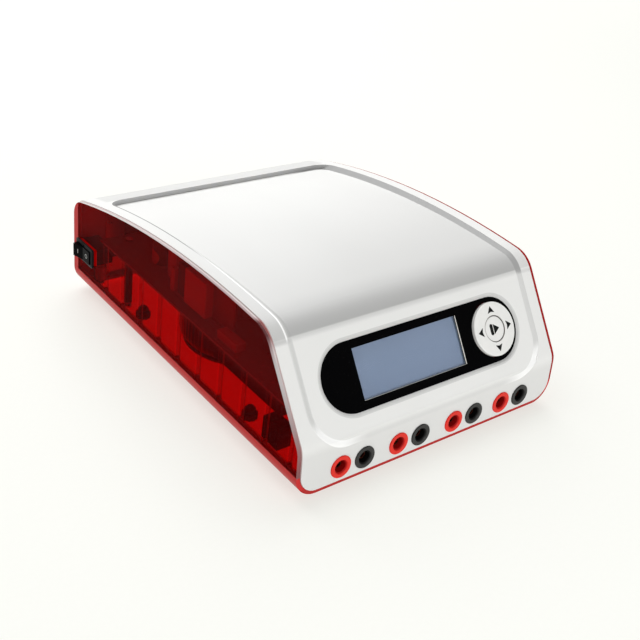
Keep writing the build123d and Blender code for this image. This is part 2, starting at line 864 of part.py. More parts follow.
def make_fuse():
    """Glass tube fuse with its two end caps."""
    y = panel_y - drawer_depth + 2 + fuse_radius + 0.15
    z = panel_z + drawer_rise + 0.05
    ends = (inlet_x - fuse_length / 2, inlet_x + fuse_length / 2)
    fuse = rod(fuse_radius - 0.3, (ends[0], y, z), (ends[1], y, z))
    fuse += rod(fuse_radius, (ends[0], y, z), (ends[0] + 5, y, z))
    fuse += rod(fuse_radius, (ends[1] - 5, y, z), (ends[1], y, z))
    return fuse


def make_fan_frame():
    """Square fan frame with its round duct, rear motor plate and three struts."""
    plan = RectangleRounded(fan_size, fan_size, 3)
    for dx in (-1, 1):
        for dz in (-1, 1):
            plan -= Pos(dx * fan_hole_pitch / 2, dz * fan_hole_pitch / 2) * Circle(screw_radius + screw_hole_gap)
    frame = extrude(plan - Circle(fan_bore_radius), fan_depth)
    motor = Circle(fan_hub_radius)
    for angle in (90, 210, 330):
        motor += Rot(0, 0, angle) * Pos(fan_bore_radius / 2 + 0.3, 0) * Rectangle(fan_bore_radius + 0.6, 3)
    frame += extrude(motor, 2.5)
    frame += extrude(Circle(3.2) - Circle(fan_shaft_radius + 0.05), fan_depth - 4)
    frame -= extrude(Circle(fan_shaft_radius + 0.05), fan_depth, both=True)
    return fan_place() * frame


def fan_place():
    """Fan's own frame: its axis along Y, its face on the panel's inside."""
    return Plane(
        origin=(fan_x, panel_y - panel_thickness - fan_depth, panel_z), x_dir=(-1, 0, 0), z_dir=(0, 1, 0)
    )


def make_fan_rotor():
    """Fan wheel: cup hub on its shaft with twisted blades."""
    low, high = 3.2, fan_depth - 1.0
    hub = Pos(0, 0, low) * extrude(Circle(fan_hub_radius), high - low)
    hub -= Pos(0, 0, low) * extrude(Circle(fan_hub_radius - 1.2), high - low - 2.6)
    hub += Pos(0, 0, 0.8) * extrude(Circle(fan_shaft_radius), high - 1.6)
    tip = fan_bore_radius - fan_tip_gap
    for index in range(fan_blade_count):
        turn = 360 / fan_blade_count * index
        blade = Rectangle(1.2, 13.5)
        near = Plane(origin=(fan_hub_radius - 0.6, 0, 0), z_dir=(1, 0, 0), x_dir=(0, 1, 0))
        far = Plane(origin=(tip - 0.9, 0, 0), z_dir=(1, 0, 0), x_dir=(0, 1, 0))
        root = near * Rot(0, 0, 35) * blade
        end = far * Rot(0, 0, 50) * blade
        sweep_body = Pos(0, 0, (low + high) / 2) * loft([root, end])
        hub += Rot(0, 0, turn) * sweep_body
    rotor = hub & (Pos(0, 0, low - 3) * extrude(Circle(tip), fan_depth))
    return fan_place() * rotor


def panel_screw(x, z, outer_y, length):
    """Round-headed screw driven forwards from the rear."""
    shank = rod(screw_radius, (x, outer_y - length, z), (x, outer_y, z))
    return shank + rod(screw_head_radius, (x, outer_y, z), (x, outer_y + screw_head_height, z))


def make_panel_screws():
    """Four screws at the corners of the rear panel."""
    outer = depth + cover_proud
    return group([panel_screw(x, z, outer, panel_screw_length) for x, z in panel_screw_places])


def make_fan_screws():
    """Four screws that hold the fan behind its grille."""
    screws = []
    for dx in (-1, 1):
        for dz in (-1, 1):
            x = fan_x + dx * fan_hole_pitch / 2
            z = panel_z + dz * fan_hole_pitch / 2
            screws.append(panel_screw(x, z, panel_y, fan_screw_length))
    return group(screws)


def make_cover_screws():
    """Four screws from under the floor into the cover's bosses."""
    screws = []
    for x, y in boss_places:
        shank = rod(screw_radius, (x, y, 0), (x, y, boss_height - 3))
        screws.append(shank + rod(screw_head_radius, (x, y, -screw_head_height), (x, y, 0)))
    return group(screws)


def make_foot(x, y):
    """Fluted push-in rubber foot with its stem and head through the floor."""
    foot = extrude(Circle(foot_radius), foot_height)
    for index in range(foot_flutes):
        angle = 360 / foot_flutes * index
        foot -= Rot(0, 0, angle) * Pos(foot_radius + 0.3, 0, -1) * extrude(Circle(0.9), foot_height + 2)
    foot += Pos(0, 0, foot_height) * extrude(Circle(foot_stem_radius - 0.05), wall + 0.1)
    head = Pos(0, 0, foot_height + wall + 0.1) * Cone(
        foot_stem_radius + 1, foot_stem_radius - 0.8, 2.2, align=(Align.CENTER, Align.CENTER, Align.MIN)
    )
    return Pos(x, y, -foot_height) * (foot + head)


def make_main_board():
    """Power board on the ribs, notched in front for the display."""
    across = half - wall - board_gap
    board = box_between(
        (-across, board_front_y, board_low), (across, board_rear_y, board_top)
    )
    board -= box_between(
        (-board_notch_half, 0, 0), (board_notch_half, board_notch_y, 2 * board_z)
    )
    for x, y in spacer_places:
        board -= rod(screw_radius + screw_hole_gap, (x, y, 0), (x, y, 2 * board_z))
    return board


def make_board_spacers():
    """Hexagon spacers between the floor and the main board."""
    spacers = []
    for x, y in spacer_places:
        face = RegularPolygon(spacer_across_flats / 2, 6, major_radius=False)
        face -= Circle(screw_radius + screw_hole_gap)
        spacers.append(Pos(x, y, floor_top) * extrude(face, board_low - floor_top))
    return group(spacers)


def make_board_screws():
    """Screws into both ends of the spacers."""
    screws = []
    top = board_top
    for x, y in spacer_places:
        upper = rod(screw_radius, (x, y, top - 8), (x, y, top))
        upper += rod(screw_head_radius, (x, y, top), (x, y, top + screw_head_height))
        lower = rod(screw_radius, (x, y, 0), (x, y, 9))
        lower += rod(screw_head_radius, (x, y, -screw_head_height), (x, y, 0))
        screws += [upper, lower]
    return group(screws)


def make_toroid():
    """Round mains transformer with its soft-edged winding."""
    low = floor_top + toroid_pad
    outline = Pos((toroid_radius + toroid_bore_radius) / 2, low + toroid_height / 2) * RectangleRounded(
        toroid_radius - toroid_bore_radius, toroid_height, toroid_round
    )
    return Pos(toroid_x, toroid_y, 0) * revolve(Plane.XZ * outline, Axis.Z)


def make_toroid_pads():
    """Rubber discs under and over the transformer."""
    low = extrude(Circle(toroid_radius - 3) - Circle(toroid_bolt_radius + 1), toroid_pad)
    top = extrude(Circle(toroid_dish_radius) - Circle(toroid_bolt_radius + 1), toroid_pad)
    top_z = floor_top + toroid_pad + toroid_height
    discs = [Pos(toroid_x, toroid_y, floor_top) * low, Pos(toroid_x, toroid_y, top_z) * top]
    return group(discs)


def make_toroid_dish():
    """Pressed steel dish that clamps the transformer."""
    z = floor_top + 2 * toroid_pad + toroid_height
    disc = extrude(Circle(toroid_dish_radius - 1) - Circle(toroid_bolt_radius + 0.3), toroid_dish)
    disc = chamfer(disc.edges().group_by(Axis.Z)[-1].sort_by(SortBy.LENGTH)[-1:], toroid_dish * 0.6)
    return Pos(toroid_x, toroid_y, z) * disc


def make_toroid_bolt():
    """Hexagon bolt through the transformer, with its nut on the dish."""
    top = floor_top + 2 * toroid_pad + toroid_height + toroid_dish
    flats = RegularPolygon(bolt_across_flats / 2, 6, major_radius=False)
    shank = rod(toroid_bolt_radius, (0, 0, 0), (0, 0, top + bolt_nut + bolt_end))
    head = Pos(0, 0, -bolt_head) * extrude(flats, bolt_head)
    nut = Pos(0, 0, top) * extrude(flats, bolt_nut)
    return Pos(toroid_x, toroid_y, 0) * (head + nut + shank)


def make_heatsink():
    """Black finned heat sink hanging under the left front of the main board."""
    low = board_low - heatsink_height
    left = -half + heatsink_inset
    right = left + heatsink_width
    rear = heatsink_front_y + heatsink_length
    sink = box_between((left, heatsink_front_y, low), (left + heatsink_back, rear, board_low))
    for index in range(fin_count):
        z = low + index * fin_pitch
        sink += box_between((left, heatsink_front_y, z), (right, rear, z + fin_thickness))
    return sink


def make_capacitors():
    """Smoothing capacitors standing on the main board."""
    cans = []
    for x in large_can_x:
        can = extrude(Circle(large_can_radius), large_can_height)
        can = fillet(can.edges().group_by(Axis.Z)[-1], can_round)
        cans.append(Pos(x, board_rear_y - large_can_edge, board_top) * can)
    for edge in small_can_edges:
        can = extrude(Circle(small_can_radius), small_can_height)
        can = fillet(can.edges().group_by(Axis.Z)[-1], can_round)
        cans.append(Pos(-half + small_can_inset, board_rear_y - edge, board_top) * can)
    return group(cans)


def make_relays():
    """Output relays in a row behind the display."""
    relay = Box(relay_length, relay_width, relay_width, align=(Align.CENTER, Align.CENTER, Align.MIN))
    return group([Pos(x, board_notch_y + relay_setback, board_top) * relay for x in relay_x])


def make_high_voltage_transformer():
    """Ferrite transformer: core halves round a taped winding."""
    core = Box(core_length, core_width, core_height)
    winding = Box(winding_length, winding_width, winding_height)
    winding = fillet(winding.edges().filter_by(Axis.Z), winding_round)
    return Pos(-half + core_inset, core_y, board_top + core_height / 2) * (core + winding)


def make_control_card():
    """Upright card with its edge connector near the left wall."""
    middle = -half + card_inset
    rear = card_front_y + card_length
    step = board_top + card_socket_height
    card = box_between(
        (middle - board_thickness / 2, card_front_y, step),
        (middle + board_thickness / 2, rear, board_top + card_height),
    )
    socket = box_between(
        (middle - card_socket_width / 2, card_front_y + card_socket_margin, board_top),
        (middle + card_socket_width / 2, rear - card_socket_margin, step),
    )
    return card + socket


# The parts, by node name
parts = {
    "red_shell": make_red_shell(),
    "top_cover": make_top_cover(),
    "rear_panel": make_rear_panel(),
    "panel_screws": make_panel_screws(),
    "cover_screws": make_cover_screws(),
    "display_bezel": make_display_bezel(),
    "lcd_window": make_lcd_window(),
    "lcd_module": make_lcd_module(),
    "display_board": make_display_board(),
    "key_switches": make_key_switches(),
    "navigation_ring": make_navigation_ring(),
    "ring_rubber_pad": make_ring_rubber_pad(),
    "run_button": make_run_button(),
    "socket_contacts": make_socket_contacts(),
    "socket_nuts": make_socket_nuts(),
    "output_board": make_output_board(),
    "switch_housing": make_switch_housing(),
    "switch_rocker": make_switch_rocker(),
    "switch_terminals": make_switch_terminals(),
    "inlet_housing": make_inlet_housing(),
    "inlet_pins": make_inlet_pins(),
    "fuse_drawer": make_fuse_drawer(),
    "fuse": make_fuse(),
    "fan_frame": make_fan_frame(),
    "fan_rotor": make_fan_rotor(),
    "fan_screws": make_fan_screws(),
    "main_board": make_main_board(),
    "board_spacers": make_board_spacers(),
    "board_screws": make_board_screws(),
    "toroid_transformer": make_toroid(),
    "toroid_pads": make_toroid_pads(),
    "toroid_dish": make_toroid_dish(),
    "toroid_bolt": make_toroid_bolt(),
    "heatsink": make_heatsink(),
    "smoothing_capacitors": make_capacitors(),
    "output_relays": make_relays(),
    "high_voltage_transformer": make_high_voltage_transformer(),
    "control_card": make_control_card(),
}
for name, x in socket_places:
    parts[name] = make_socket(x)
for name, (x, y) in foot_places.items():
    parts[name] = make_foot(x, y)

# Stand the feet on Z = 0 and centre the whole on the origin
whole = group(parts.values()).bounding_box()
centre_x = (whole.min.X + whole.max.X) / 2
centre_y = (whole.min.Y + whole.max.Y) / 2
shift = Pos(-centre_x, -centre_y, -whole.min.Z)

os.makedirs("parts", exist_ok=True)
for name, part in parts.items():
    export_step(shift * part, f"parts/{name}.step")
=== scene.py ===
import json
import math

import bmesh
import bpy
from mathutils import Matrix, Vector


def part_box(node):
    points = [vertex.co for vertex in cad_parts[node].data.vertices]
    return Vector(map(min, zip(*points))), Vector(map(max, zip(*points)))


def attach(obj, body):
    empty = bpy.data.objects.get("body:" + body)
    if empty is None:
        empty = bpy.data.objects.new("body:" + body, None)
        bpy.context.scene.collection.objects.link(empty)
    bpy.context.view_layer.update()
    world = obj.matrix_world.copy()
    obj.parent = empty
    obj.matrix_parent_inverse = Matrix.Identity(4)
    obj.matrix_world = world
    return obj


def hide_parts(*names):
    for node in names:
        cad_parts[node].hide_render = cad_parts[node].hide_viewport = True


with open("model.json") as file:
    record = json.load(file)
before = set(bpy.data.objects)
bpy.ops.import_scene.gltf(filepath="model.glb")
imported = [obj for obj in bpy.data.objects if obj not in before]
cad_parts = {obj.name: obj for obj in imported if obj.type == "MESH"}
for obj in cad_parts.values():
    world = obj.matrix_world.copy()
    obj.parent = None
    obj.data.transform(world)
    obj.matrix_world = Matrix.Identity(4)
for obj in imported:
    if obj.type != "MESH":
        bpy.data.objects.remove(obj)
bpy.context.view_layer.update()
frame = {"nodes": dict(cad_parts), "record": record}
nodes = frame["nodes"]
bpy.ops.object.select_all(action="DESELECT")

# The case's own millimetres: X = 0 its middle, Y = 0 the socket strip, Z = 0 its underside
CASE_DEPTH = 293.0
CASE_HALF = 113.5
SLANT = math.radians(35.5)
CREASE = (1.645, 33.9)

# On the sloping face: U across, V up from the crease, heights above the face
RING_U = 62.35
BEZEL_V = 32.4
RING_TOP = 1.9
BUTTON_TOP = 1.6
KEY_BACK = 0.8
KEY_DROP = 0.5
RING_RIM = 16.5
RIM_SHRINK = 0.5
# Black lip in the bezel's bore, a dark piece standing in for the shade in the gap round the ring
GAP_SHADE_RADIUS = 19.7
GAP_SHADE_WIDTH = 0.88
GAP_SHADE_HEIGHT = 0.45
GAP_SHADE_BACK = -2.55
WINDOW_FACE = -1.52
WINDOW_LEFT, WINDOW_RIGHT = -56.45, 32.95
WINDOW_LOW, WINDOW_HIGH = 15.7, 49.1
LIP_GAP = 0.02
LIP_UPRIGHT, LIP_LEVEL = 0.75, 0.27
LIP_EDGE = 0.03
LINE_INNER, LINE_OUTER = 1.25, 0.78

# Printed marks
MARK_HEIGHT = 0.09
MARK_SINK = 0.03
ARROW_RADIUS = 2.7
ARROW_SWEEP = -2.0
ARROW_SPREAD = 1.16
ARROW_NOTCH = 1.5
ARROW_REACH = 13.0
RUN_BAR_RADIUS = 1.4
RUN_BAR_STRETCH = 2.5
RUN_BAR_X = -2.85
RUN_ARROW_RADIUS = 3.2
RUN_ARROW_SHIFT = 0.85

# Power switch
SWITCH_PIVOT_X = -114.5
SWITCH_Y = 273.0
SWITCH_Z = 36.5
ROCKER_TILT = 9.0
ROCKER_MIDDLE = 5.2
ROCKER_RISE = 2.62
ROCKER_MARK_HEIGHT = 0.10
ON_BAR = (0.65, 3.4, 1)
OFF_RING_RADIUS = 1.75
OFF_RING_WIDTH = 0.55

# Inside the left wall
CARD_FACE = -98.7
CLAMP_FRONT = 40.2
CLAMP_PITCH = 8.9
CLAMP_LENGTH = 8.6

# Pan-head screws, their heads built up in three steps
HEAD_RADIUS = 2.9
HEAD_STEPS = (0.9, 0.55, 0.35)
HEAD_TAPERS = (0.86, 0.66)
HEAD_HEIGHT = sum(HEAD_STEPS)
SHANK_RADIUS = 1.45
CROSS_LENGTH = 2.9
CROSS_WIDTH = 0.62
CROSS_TALL = 1.5
CROSS_MIDDLE = 1.5

# In metres, for the shaders: the cover's recess and the display panel
RECESS_HALF = 0.1013
RECESS_FRONT = 0.0070
RECESS_REAR = 0.2645
RECESS_FRONT_ROUND = 0.0270
RECESS_REAR_ROUND = 0.0130
RECESS_SLOPE = 0.0042
PANEL_HALF = 0.0845
PANEL_ROUND = 0.02215
PANEL_CHAMFER = 0.0028
SOCKET_MOUTH = (0.0046, 0.0050)

# In metres, from start to end of each change of tone on the cover: its painted shade and
# highlights
SLANT_END = (0.0625, 0.0665)
TOP_FADE = (0.03, 0.26)
STRIP_END = (-0.006, 0.001)
LEDGE_START = (0.2640, 0.2660)
LEDGE_SIDE = (0.099, 0.103)
BEND_START = (0.0660, 0.0672)
BEND_FADE = (0.036, 0.072)
BEND_SIDE = (0.0985, 0.1005)
SLOPE_SIDE = (0.058, 0.084)
SLOPE_LOW = (0.004, 0.016)
LINE_WIDTH = (-0.0002, 0.0005)
LINE_FADE = (0.100, 0.165)
GLINT_WIDTH = (-0.0006, 0.0005)
GLINT_SIDE = (0.09, 0.1)
REAR_STEP = (0.2, 0.21)

# The same on the keys: the gap round the run button, painted in shadow, and the depth below which
# they are painted dark as shade
KEY_GAP = (0.0086, 0.0093)
KEY_SUNK = (-0.0010, -0.0005)

# The same on the shell: ribs, rims and foot, for their painted light and shade
CLOUD_START = (0.050, 0.058)
CLOUD_FADE = (0.08, 0.24)
RIB_DEPTH = (0.1062, 0.1104)
RIB_FOOT = (0.012, 0.016)
WALL_INSIDE = ((CASE_HALF - 2.97) / 1000, (CASE_HALF - 2.93) / 1000)
RIM_INSIDE = (0.1116, 0.1121)
RIM_FOOT = (0.0150, 0.0165)
RIM_FRONT = (0.030, 0.040)
RIM_RISE = (0.020, 0.075)
RIM_CORNER = (0.040, 0.056)
RIM_BACK = (0.06, 0.26)
FOOT_TOP = (0.0160, 0.0172)
FOOT_REACH = ((CASE_HALF - 16.5) / 1000, (CASE_HALF - 14.0) / 1000)
TOE_DEPTH = (0.0030, 0.0045)
TOE_TOP = (0.0055, 0.0065)
REAR_RIM = (0.2858, 0.2868)

# Camera, in degrees and in the case's millimetres
CAMERA_ANGLES = (41.41057, 30.46678, 7.79966)
CAMERA_PLACE = (-418.9326, -347.8992, 398.5664)
CAMERA_FOCUS = 1007.0915
PICTURE_WIDTH = 640
SENSOR_WIDTH = 36.0

# Studio
TARGET = (0, 0, 0.05)
FLOOR_SIZE = 14.0
FLOOR_FADE = (0.9, 2.6)
WORLD_LIGHT = 0.30
WORLD_SEEN = 0.96

shell_low, shell_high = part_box("red_shell")
ORIGIN = Vector((
    (shell_low.x + shell_high.x) / 2,
    shell_high.y - CASE_DEPTH / 1000,
    shell_low.z,
))


def spot(x, y, z):
    """A place given in the case's millimetres, in metres in the frame."""
    return ORIGIN + Vector((x, y, z)) / 1000


def slant_frame(u=0.0, v=0.0, n=0.0):
    """Frame on the sloping face: X to the right, Y up the slope, Z outwards."""
    across = Vector((1, 0, 0))
    up = Vector((0, math.sin(SLANT), math.cos(SLANT)))
    out = across.cross(up)
    centre = spot(0, *CREASE) + (across * u + up * v + out * n) / 1000
    matrix = Matrix((across, up, out)).transposed().to_4x4()
    matrix.translation = centre
    return matrix


# ---------------------------------------------------------------- shader tools


class Value:
    """A shader socket that can stand in a Python sum."""

    def __init__(self, shader, socket):
        self.shader = shader
        self.socket = socket

    def maths(self, operation, first, second=0.0):
        return self.shader.node("Math", {"operation": operation}, {0: first, 1: second})

    def __add__(self, other):
        return self.maths("ADD", self, other)

    def __radd__(self, other):
        return self.maths("ADD", other, self)

    def __sub__(self, other):
        return self.maths("SUBTRACT", self, other)

    def __rsub__(self, other):
        return self.maths("SUBTRACT", other, self)

    def __mul__(self, other):
        return self.maths("MULTIPLY", self, other)

    def __pow__(self, other):
        return self.maths("POWER", self, other)

    def __abs__(self):
        return self.maths("ABSOLUTE", self)

    def most(self, other):
        return self.maths("MAXIMUM", self, other)

    def least(self, other):
        return self.maths("MINIMUM", self, other)


class Finish:
    """One material and the nodes behind it."""

    def __init__(self, name):
        self.material = bpy.data.materials.new(name)
        self.material.use_nodes = True
        self.tree = self.material.node_tree
        self.tree.nodes.clear()
        self.output = self.tree.nodes.new("ShaderNodeOutputMaterial")
        self.here = None

    def node(self, kind, settings=None, inputs=None, output=0):
        """Any node: its settings first, then the values or links of its sockets."""
        node = self.tree.nodes.new("ShaderNode" + kind)
        for key, value in (settings or {}).items():
            setattr(node, key, value)
        for key, value in (inputs or {}).items():
            if isinstance(value, Value):
                self.tree.links.new(value.socket, node.inputs[key])
            elif isinstance(value, tuple) and node.inputs[key].type == "RGBA":
                node.inputs[key].default_value = (*value, 1.0)
            else:
                node.inputs[key].default_value = value
        return Value(self, node.outputs[output])

    def place(self):
        """Object coordinates, which are the frame's metres."""
        if self.here is None:
            self.here = self.node("TexCoord", output="Object")
        return self.here

    def axis(self, name, of=None):
        return self.node("SeparateXYZ", None, {0: of or self.place()}, output=name)

    def noise(self, scale, detail=2.0, roughness=0.5, of=None):
        inputs = {
            "Vector": of or self.place(),
            "Scale": scale,
            "Detail": detail,
            "Roughness": roughness,
        }
        return self.node("TexNoise", None, inputs, output=0)

    def stretched(self, x, y, z):
        """Object coordinates drawn out by a factor along each axis."""
        return self.node("Mapping", None, {"Vector": self.place(), "Scale": (x, y, z)})

    def ramp(self, value, low, high):
        """0 below low, 1 above high, smooth between them."""
        settings = {"interpolation_type": "SMOOTHSTEP"}
        inputs = {"Value": value, "From Min": low, "From Max": high}
        return self.node("MapRange", settings, inputs)

    def between(self, value, low, high, soft):
        """1 between low and high, with soft edges."""
        rise = self.ramp(value, low - soft, low + soft)
        return rise * (1.0 - self.ramp(value, high - soft, high + soft))

    def outside(self, across, along, half, end, radius):
        """Distance outside a long shape with rounded corners, negative inside it."""
        a = across - (half - radius)
        b = along - (end - radius)
        corner = (a.most(0.0) ** 2.0 + b.most(0.0) ** 2.0) ** 0.5
        return corner + a.most(b).least(0.0) - radius

    def climb(self):
        """Height up the sloping face, in metres from the crease."""
        back = (self.axis("Y") - (ORIGIN.y + CREASE[0] / 1000)) * math.sin(SLANT)
        return back + (self.axis("Z") - (ORIGIN.z + CREASE[1] / 1000)) * math.cos(SLANT)

    def stand(self):
        """Height above the sloping face."""
        back = self.axis("Y") - (ORIGIN.y + CREASE[0] / 1000)
        rise = self.axis("Z") - (ORIGIN.z + CREASE[1] / 1000)
        return rise * math.sin(SLANT) - back * math.cos(SLANT)

    def blend(self, share, first, second):
        """A colour between two colours."""
        inputs = {0: share, 6: first, 7: second}
        return self.node("Mix", {"data_type": "RGBA"}, inputs, output=2)

    def bump(self, height, distance, strength=1.0, below=None):
        inputs = {"Height": height, "Distance": distance, "Strength": strength}
        if below is not None:
            inputs["Normal"] = below
        return self.node("Bump", None, inputs)

    def film(self, colour):
        """Clear film that tints what is seen through it."""
        return self.node("BsdfTransparent", None, {"Color": colour})

    def mixed(self, share, first, second):
        """A shader between two shaders."""
        return self.node("MixShader", None, {0: share, 1: first, 2: second})

    def surface(self, inputs):
        """The main shader, wired to the output."""
        self.show(self.node("BsdfPrincipled", None, inputs))

    def show(self, shader):
        self.tree.links.new(shader.socket, self.output.inputs["Surface"])


def shade(colour, factor):
    return tuple(min(1.0, part * factor) for part in colour)


def grey(level):
    return (level, level, level)


# ---------------------------------------------------------------- finishes


def moulded_plastic(name, colour, roughness=0.42, grain=2600.0, depth=0.00002, gloss=0.5):
    """Moulded plastic: fine spark texture, faint flow marks and handling wear."""
    f = Finish(name)
    fine = f.noise(grain, 3.0, 0.6)
    flow = f.noise(18.0, 3.0, 0.5, f.stretched(1.0, 0.35, 1.0))
    smudge = f.noise(55.0, 4.0, 0.62)
    f.surface({
        "Base Color": f.blend(f.ramp(flow, 0.35, 0.68), shade(colour, 0.955), shade(colour, 1.03)),
        "Roughness": roughness + (smudge - 0.5) * 0.14 + (fine - 0.5) * 0.06,
        "Specular IOR Level": gloss,
        "Normal": f.bump(fine, depth, 0.55),
    })
    return f.material


def socket_plastic(name, colour, shadow, row):
    """Moulded socket: its open mouth falls into shadow inside the face's ring."""
    f = Finish(name)
    reach = None
    for number in (1, 2, 3, 4):
        low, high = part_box(f"{row}_{number}")
        centre = (low + high) / 2
        away = ((f.axis("X") - centre.x) ** 2.0 + (f.axis("Z") - centre.z) ** 2.0) ** 0.5
        reach = away if reach is None else away.least(reach)
    fine = f.noise(2200.0, 3.0, 0.6)
    smudge = f.noise(90.0, 4.0, 0.62)
    tone = f.blend(f.ramp(smudge, 0.3, 0.7), shade(colour, 0.96), shade(colour, 1.03))
    mouth = 1.0 - f.ramp(reach, *SOCKET_MOUTH)
    f.surface({
        "Base Color": f.blend(mouth, tone, shadow),
        "Roughness": 0.36 + (smudge - 0.5) * 0.12 + (fine - 0.5) * 0.05 + mouth * 0.3,
        "Specular IOR Level": 0.2,
        "Normal": f.bump(fine, 0.00001, 0.5),
    })
    return f.material


def polished_plastic(name, colour, roughness, gloss):
    """Polished plastic: slight waviness, hairline scratches and dust."""
    f = Finish(name)
    wave = f.noise(70.0, 2.0, 0.4)
    fine = f.noise(900.0, 3.0, 0.6)
    hair = f.noise(260.0, 2.0, 0.5, f.stretched(1.0, 14.0, 14.0))
    dust = f.ramp(f.noise(1500.0, 1.0, 0.5), 0.70, 0.78)
    scratch = f.ramp(hair, 0.66, 0.72)
    first = f.bump(wave, 0.00004, 0.3)
    f.surface({
        "Base Color": f.blend(dust * 0.03, colour, (0.5, 0.49, 0.47)),
        "Roughness": roughness + (wave - 0.5) * 0.08 + scratch * 0.10 + dust * 0.25,
        "Specular IOR Level": gloss,
        "Normal": f.bump(fine, 0.000006, 0.4, first),
    })
    return f.material


def plated_metal(name, colour, roughness, along=(1, 1, 1), grain=500.0):
    """Drawn or turned metal: brushed lines, tarnish patches and fine pits."""
    f = Finish(name)
    lines = f.noise(grain, 4.0, 0.7, f.stretched(*along))
    patch = f.noise(60.0, 4.0, 0.6)
    pits = f.noise(1800.0, 2.0, 0.5)
    first = f.bump(lines, 0.00003, 0.35)
    f.surface({
        "Base Color": f.blend(f.ramp(patch, 0.3, 0.75), shade(colour, 0.82), shade(colour, 1.06)),
        "Metallic": 1.0,
        "Roughness": roughness + (lines - 0.5) * 0.22 + (patch - 0.5) * 0.12,
        "Normal": f.bump(pits, 0.000008, 0.3, first),
    })
    return f.material


def soft_rubber(name, colour):
    """Moulded rubber: matt, bloomed in patches and finely grained."""
    f = Finish(name)
    bloom = f.ramp(f.noise(140.0, 4.0, 0.65), 0.42, 0.72)
    fine = f.noise(1700.0, 3.0, 0.6)
    f.surface({
        "Base Color": f.blend(bloom * 0.35, colour, (0.17, 0.165, 0.16)),
        "Roughness": 0.72 + (fine - 0.5) * 0.18,
        "Normal": f.bump(fine, 0.00003, 0.6),
    })
    return f.material


def circuit_board(name, colour, track):
    """Solder mask over tracks, with rows of tinned pads."""
    f = Finish(name)
    runs = f.node("TexBrick", {"offset": 0.5, "squash": 1.0}, {
        "Vector": f.place(),
        "Color1": grey(1.0),
        "Color2": grey(0.0),
        "Mortar": grey(0.5),
        "Scale": 60.0,
        "Mortar Size": 0.012,
        "Brick Width": 0.8,
        "Row Height": 0.1,
    }, output="Fac")
    spread = {"Vector": f.place(), "Scale": 210.0}
    cells = f.node("TexVoronoi", {"feature": "F1"}, spread, output="Distance")
    pads = 1.0 - f.ramp(cells, 0.16, 0.20)
    mask = f.noise(400.0, 3.0, 0.5)
    f.surface({
        "Base Color": f.blend(pads * 0.5, f.blend(runs, colour, track), (0.30, 0.30, 0.28)),
        "Metallic": pads * 0.4,
        "Roughness": 0.34 + (mask - 0.5) * 0.14,
        "Normal": f.bump(runs + pads, 0.00006, 0.5),
    })
    return f.material


def clear_red(name):
    """Clear red acrylic: a deep tint, a faint body colour, and edges painted with the light they
    gather, with painted shade on the right rim.
    """
    f = Finish(name)
    wave = f.noise(26.0, 2.0, 0.4)
    dust = f.ramp(f.noise(900.0, 2.0, 0.5), 0.70, 0.80)
    haze = f.noise(9.0, 3.0, 0.5)
    side = f.axis("X") - ORIGIN.x
    out = abs(side)
    y, z = f.axis("Y") - ORIGIN.y, f.axis("Z") - ORIGIN.z
    facing = abs(f.axis("X", f.node("NewGeometry", output="True Normal")))
    # Ribs stand inside the walls, clear on their sides, with a painted highlight along their tips
    ribs = f.between(out, *RIB_DEPTH, 0.0001) * f.ramp(z, *RIB_FOOT)
    film = f.mixed(haze, f.film((0.87, 0.008, 0.006)), f.film((0.85, 0.005, 0.005)))
    film = f.mixed(ribs * (1.0 - facing), film, f.film((0.97, 0.60, 0.60)))
    body = f.node("BsdfPrincipled", None, {
        "Base Color": (0.40, 0.0005, 0.0005),
        "Roughness": 0.06 + dust * 0.08 + haze * 0.02,
        "Specular IOR Level": 0.18,
        "Normal": f.bump(wave, 0.0002, 0.12),
    })
    # A little cloudier in the upper half, most of all in front
    upper = 0.050 - f.ramp(y, *CLOUD_FADE) * 0.030
    cloud = 0.055 + f.ramp(z, *CLOUD_START) * upper + dust * 0.015
    clear = f.mixed(cloud, film, body)
    # Rim faces beside the cover: painted light on the left one, painted shade in dark red on the
    # right one
    rim = (1.0 - f.ramp(facing, 0.35, 0.55)) * f.ramp(out, *WALL_INSIDE)
    rim = rim * f.ramp(z, *RIM_FOOT)
    left = 1.0 - f.ramp(side, -0.001, 0.001)
    front = 1.0 - f.ramp(y, *RIM_FRONT)
    corner = f.between(y, *RIM_CORNER, 0.004)
    back = f.ramp(y, *RIM_BACK)
    inner = 1.0 - f.ramp(out, *RIM_INSIDE)
    # Foot of the walls, where the bend is thick to look through, painted with the glow it gathers;
    # the rear rim and the front toe alike
    foot = (1.0 - f.ramp(z, *FOOT_TOP)) * f.ramp(out, *FOOT_REACH)
    toe = (1.0 - f.ramp(y, *TOE_DEPTH)) * (1.0 - f.ramp(z, *TOE_TOP))
    rear = f.ramp(y, *REAR_RIM)
    # Share of the opaque shader with the painted edge light: rims, foot, rear rim, front toe and
    # rib tips
    share = (rim * (0.9 - corner * 0.75 * left)).most(foot).most(rear * 0.95).most(toe)
    share = share.most(ribs * f.ramp(facing, 0.7, 0.9) * 0.35)
    # Painted tones: a red glow at the foot, rear rim and rib tips, darker at the front toe; dark
    # red shade on the right rim; on the left rim lit mauve-grey, paler to the rear and inner edge,
    # and at the front darker low and pale higher up
    tone = f.blend(haze, (0.50, 0.024, 0.024), (0.58, 0.034, 0.032))
    tone = f.blend(rim * (1.0 - left), tone, (0.30, 0.010, 0.010))
    facet = f.blend(f.ramp(z, *RIM_RISE), (0.24, 0.11, 0.11), (0.58, 0.55, 0.55))
    ledge = f.blend(back.most(inner * 0.9), (0.44, 0.33, 0.34), (0.72, 0.70, 0.69))
    tone = f.blend(rim * left * (1.0 - rear), tone, f.blend(front, ledge, facet))
    tone = f.blend(ribs, tone, (0.50, 0.0, 0.0))
    tone = f.blend(toe, tone, (0.42, 0.024, 0.022))
    # Opaque shader that carries these painted light and shade tones
    edge = f.node("BsdfPrincipled", None, {
        "Base Color": tone,
        "Roughness": 0.34 + dust * 0.2,
        "Specular IOR Level": 0.06,
    })
    f.show(f.mixed(share, clear, edge))
    return f.material


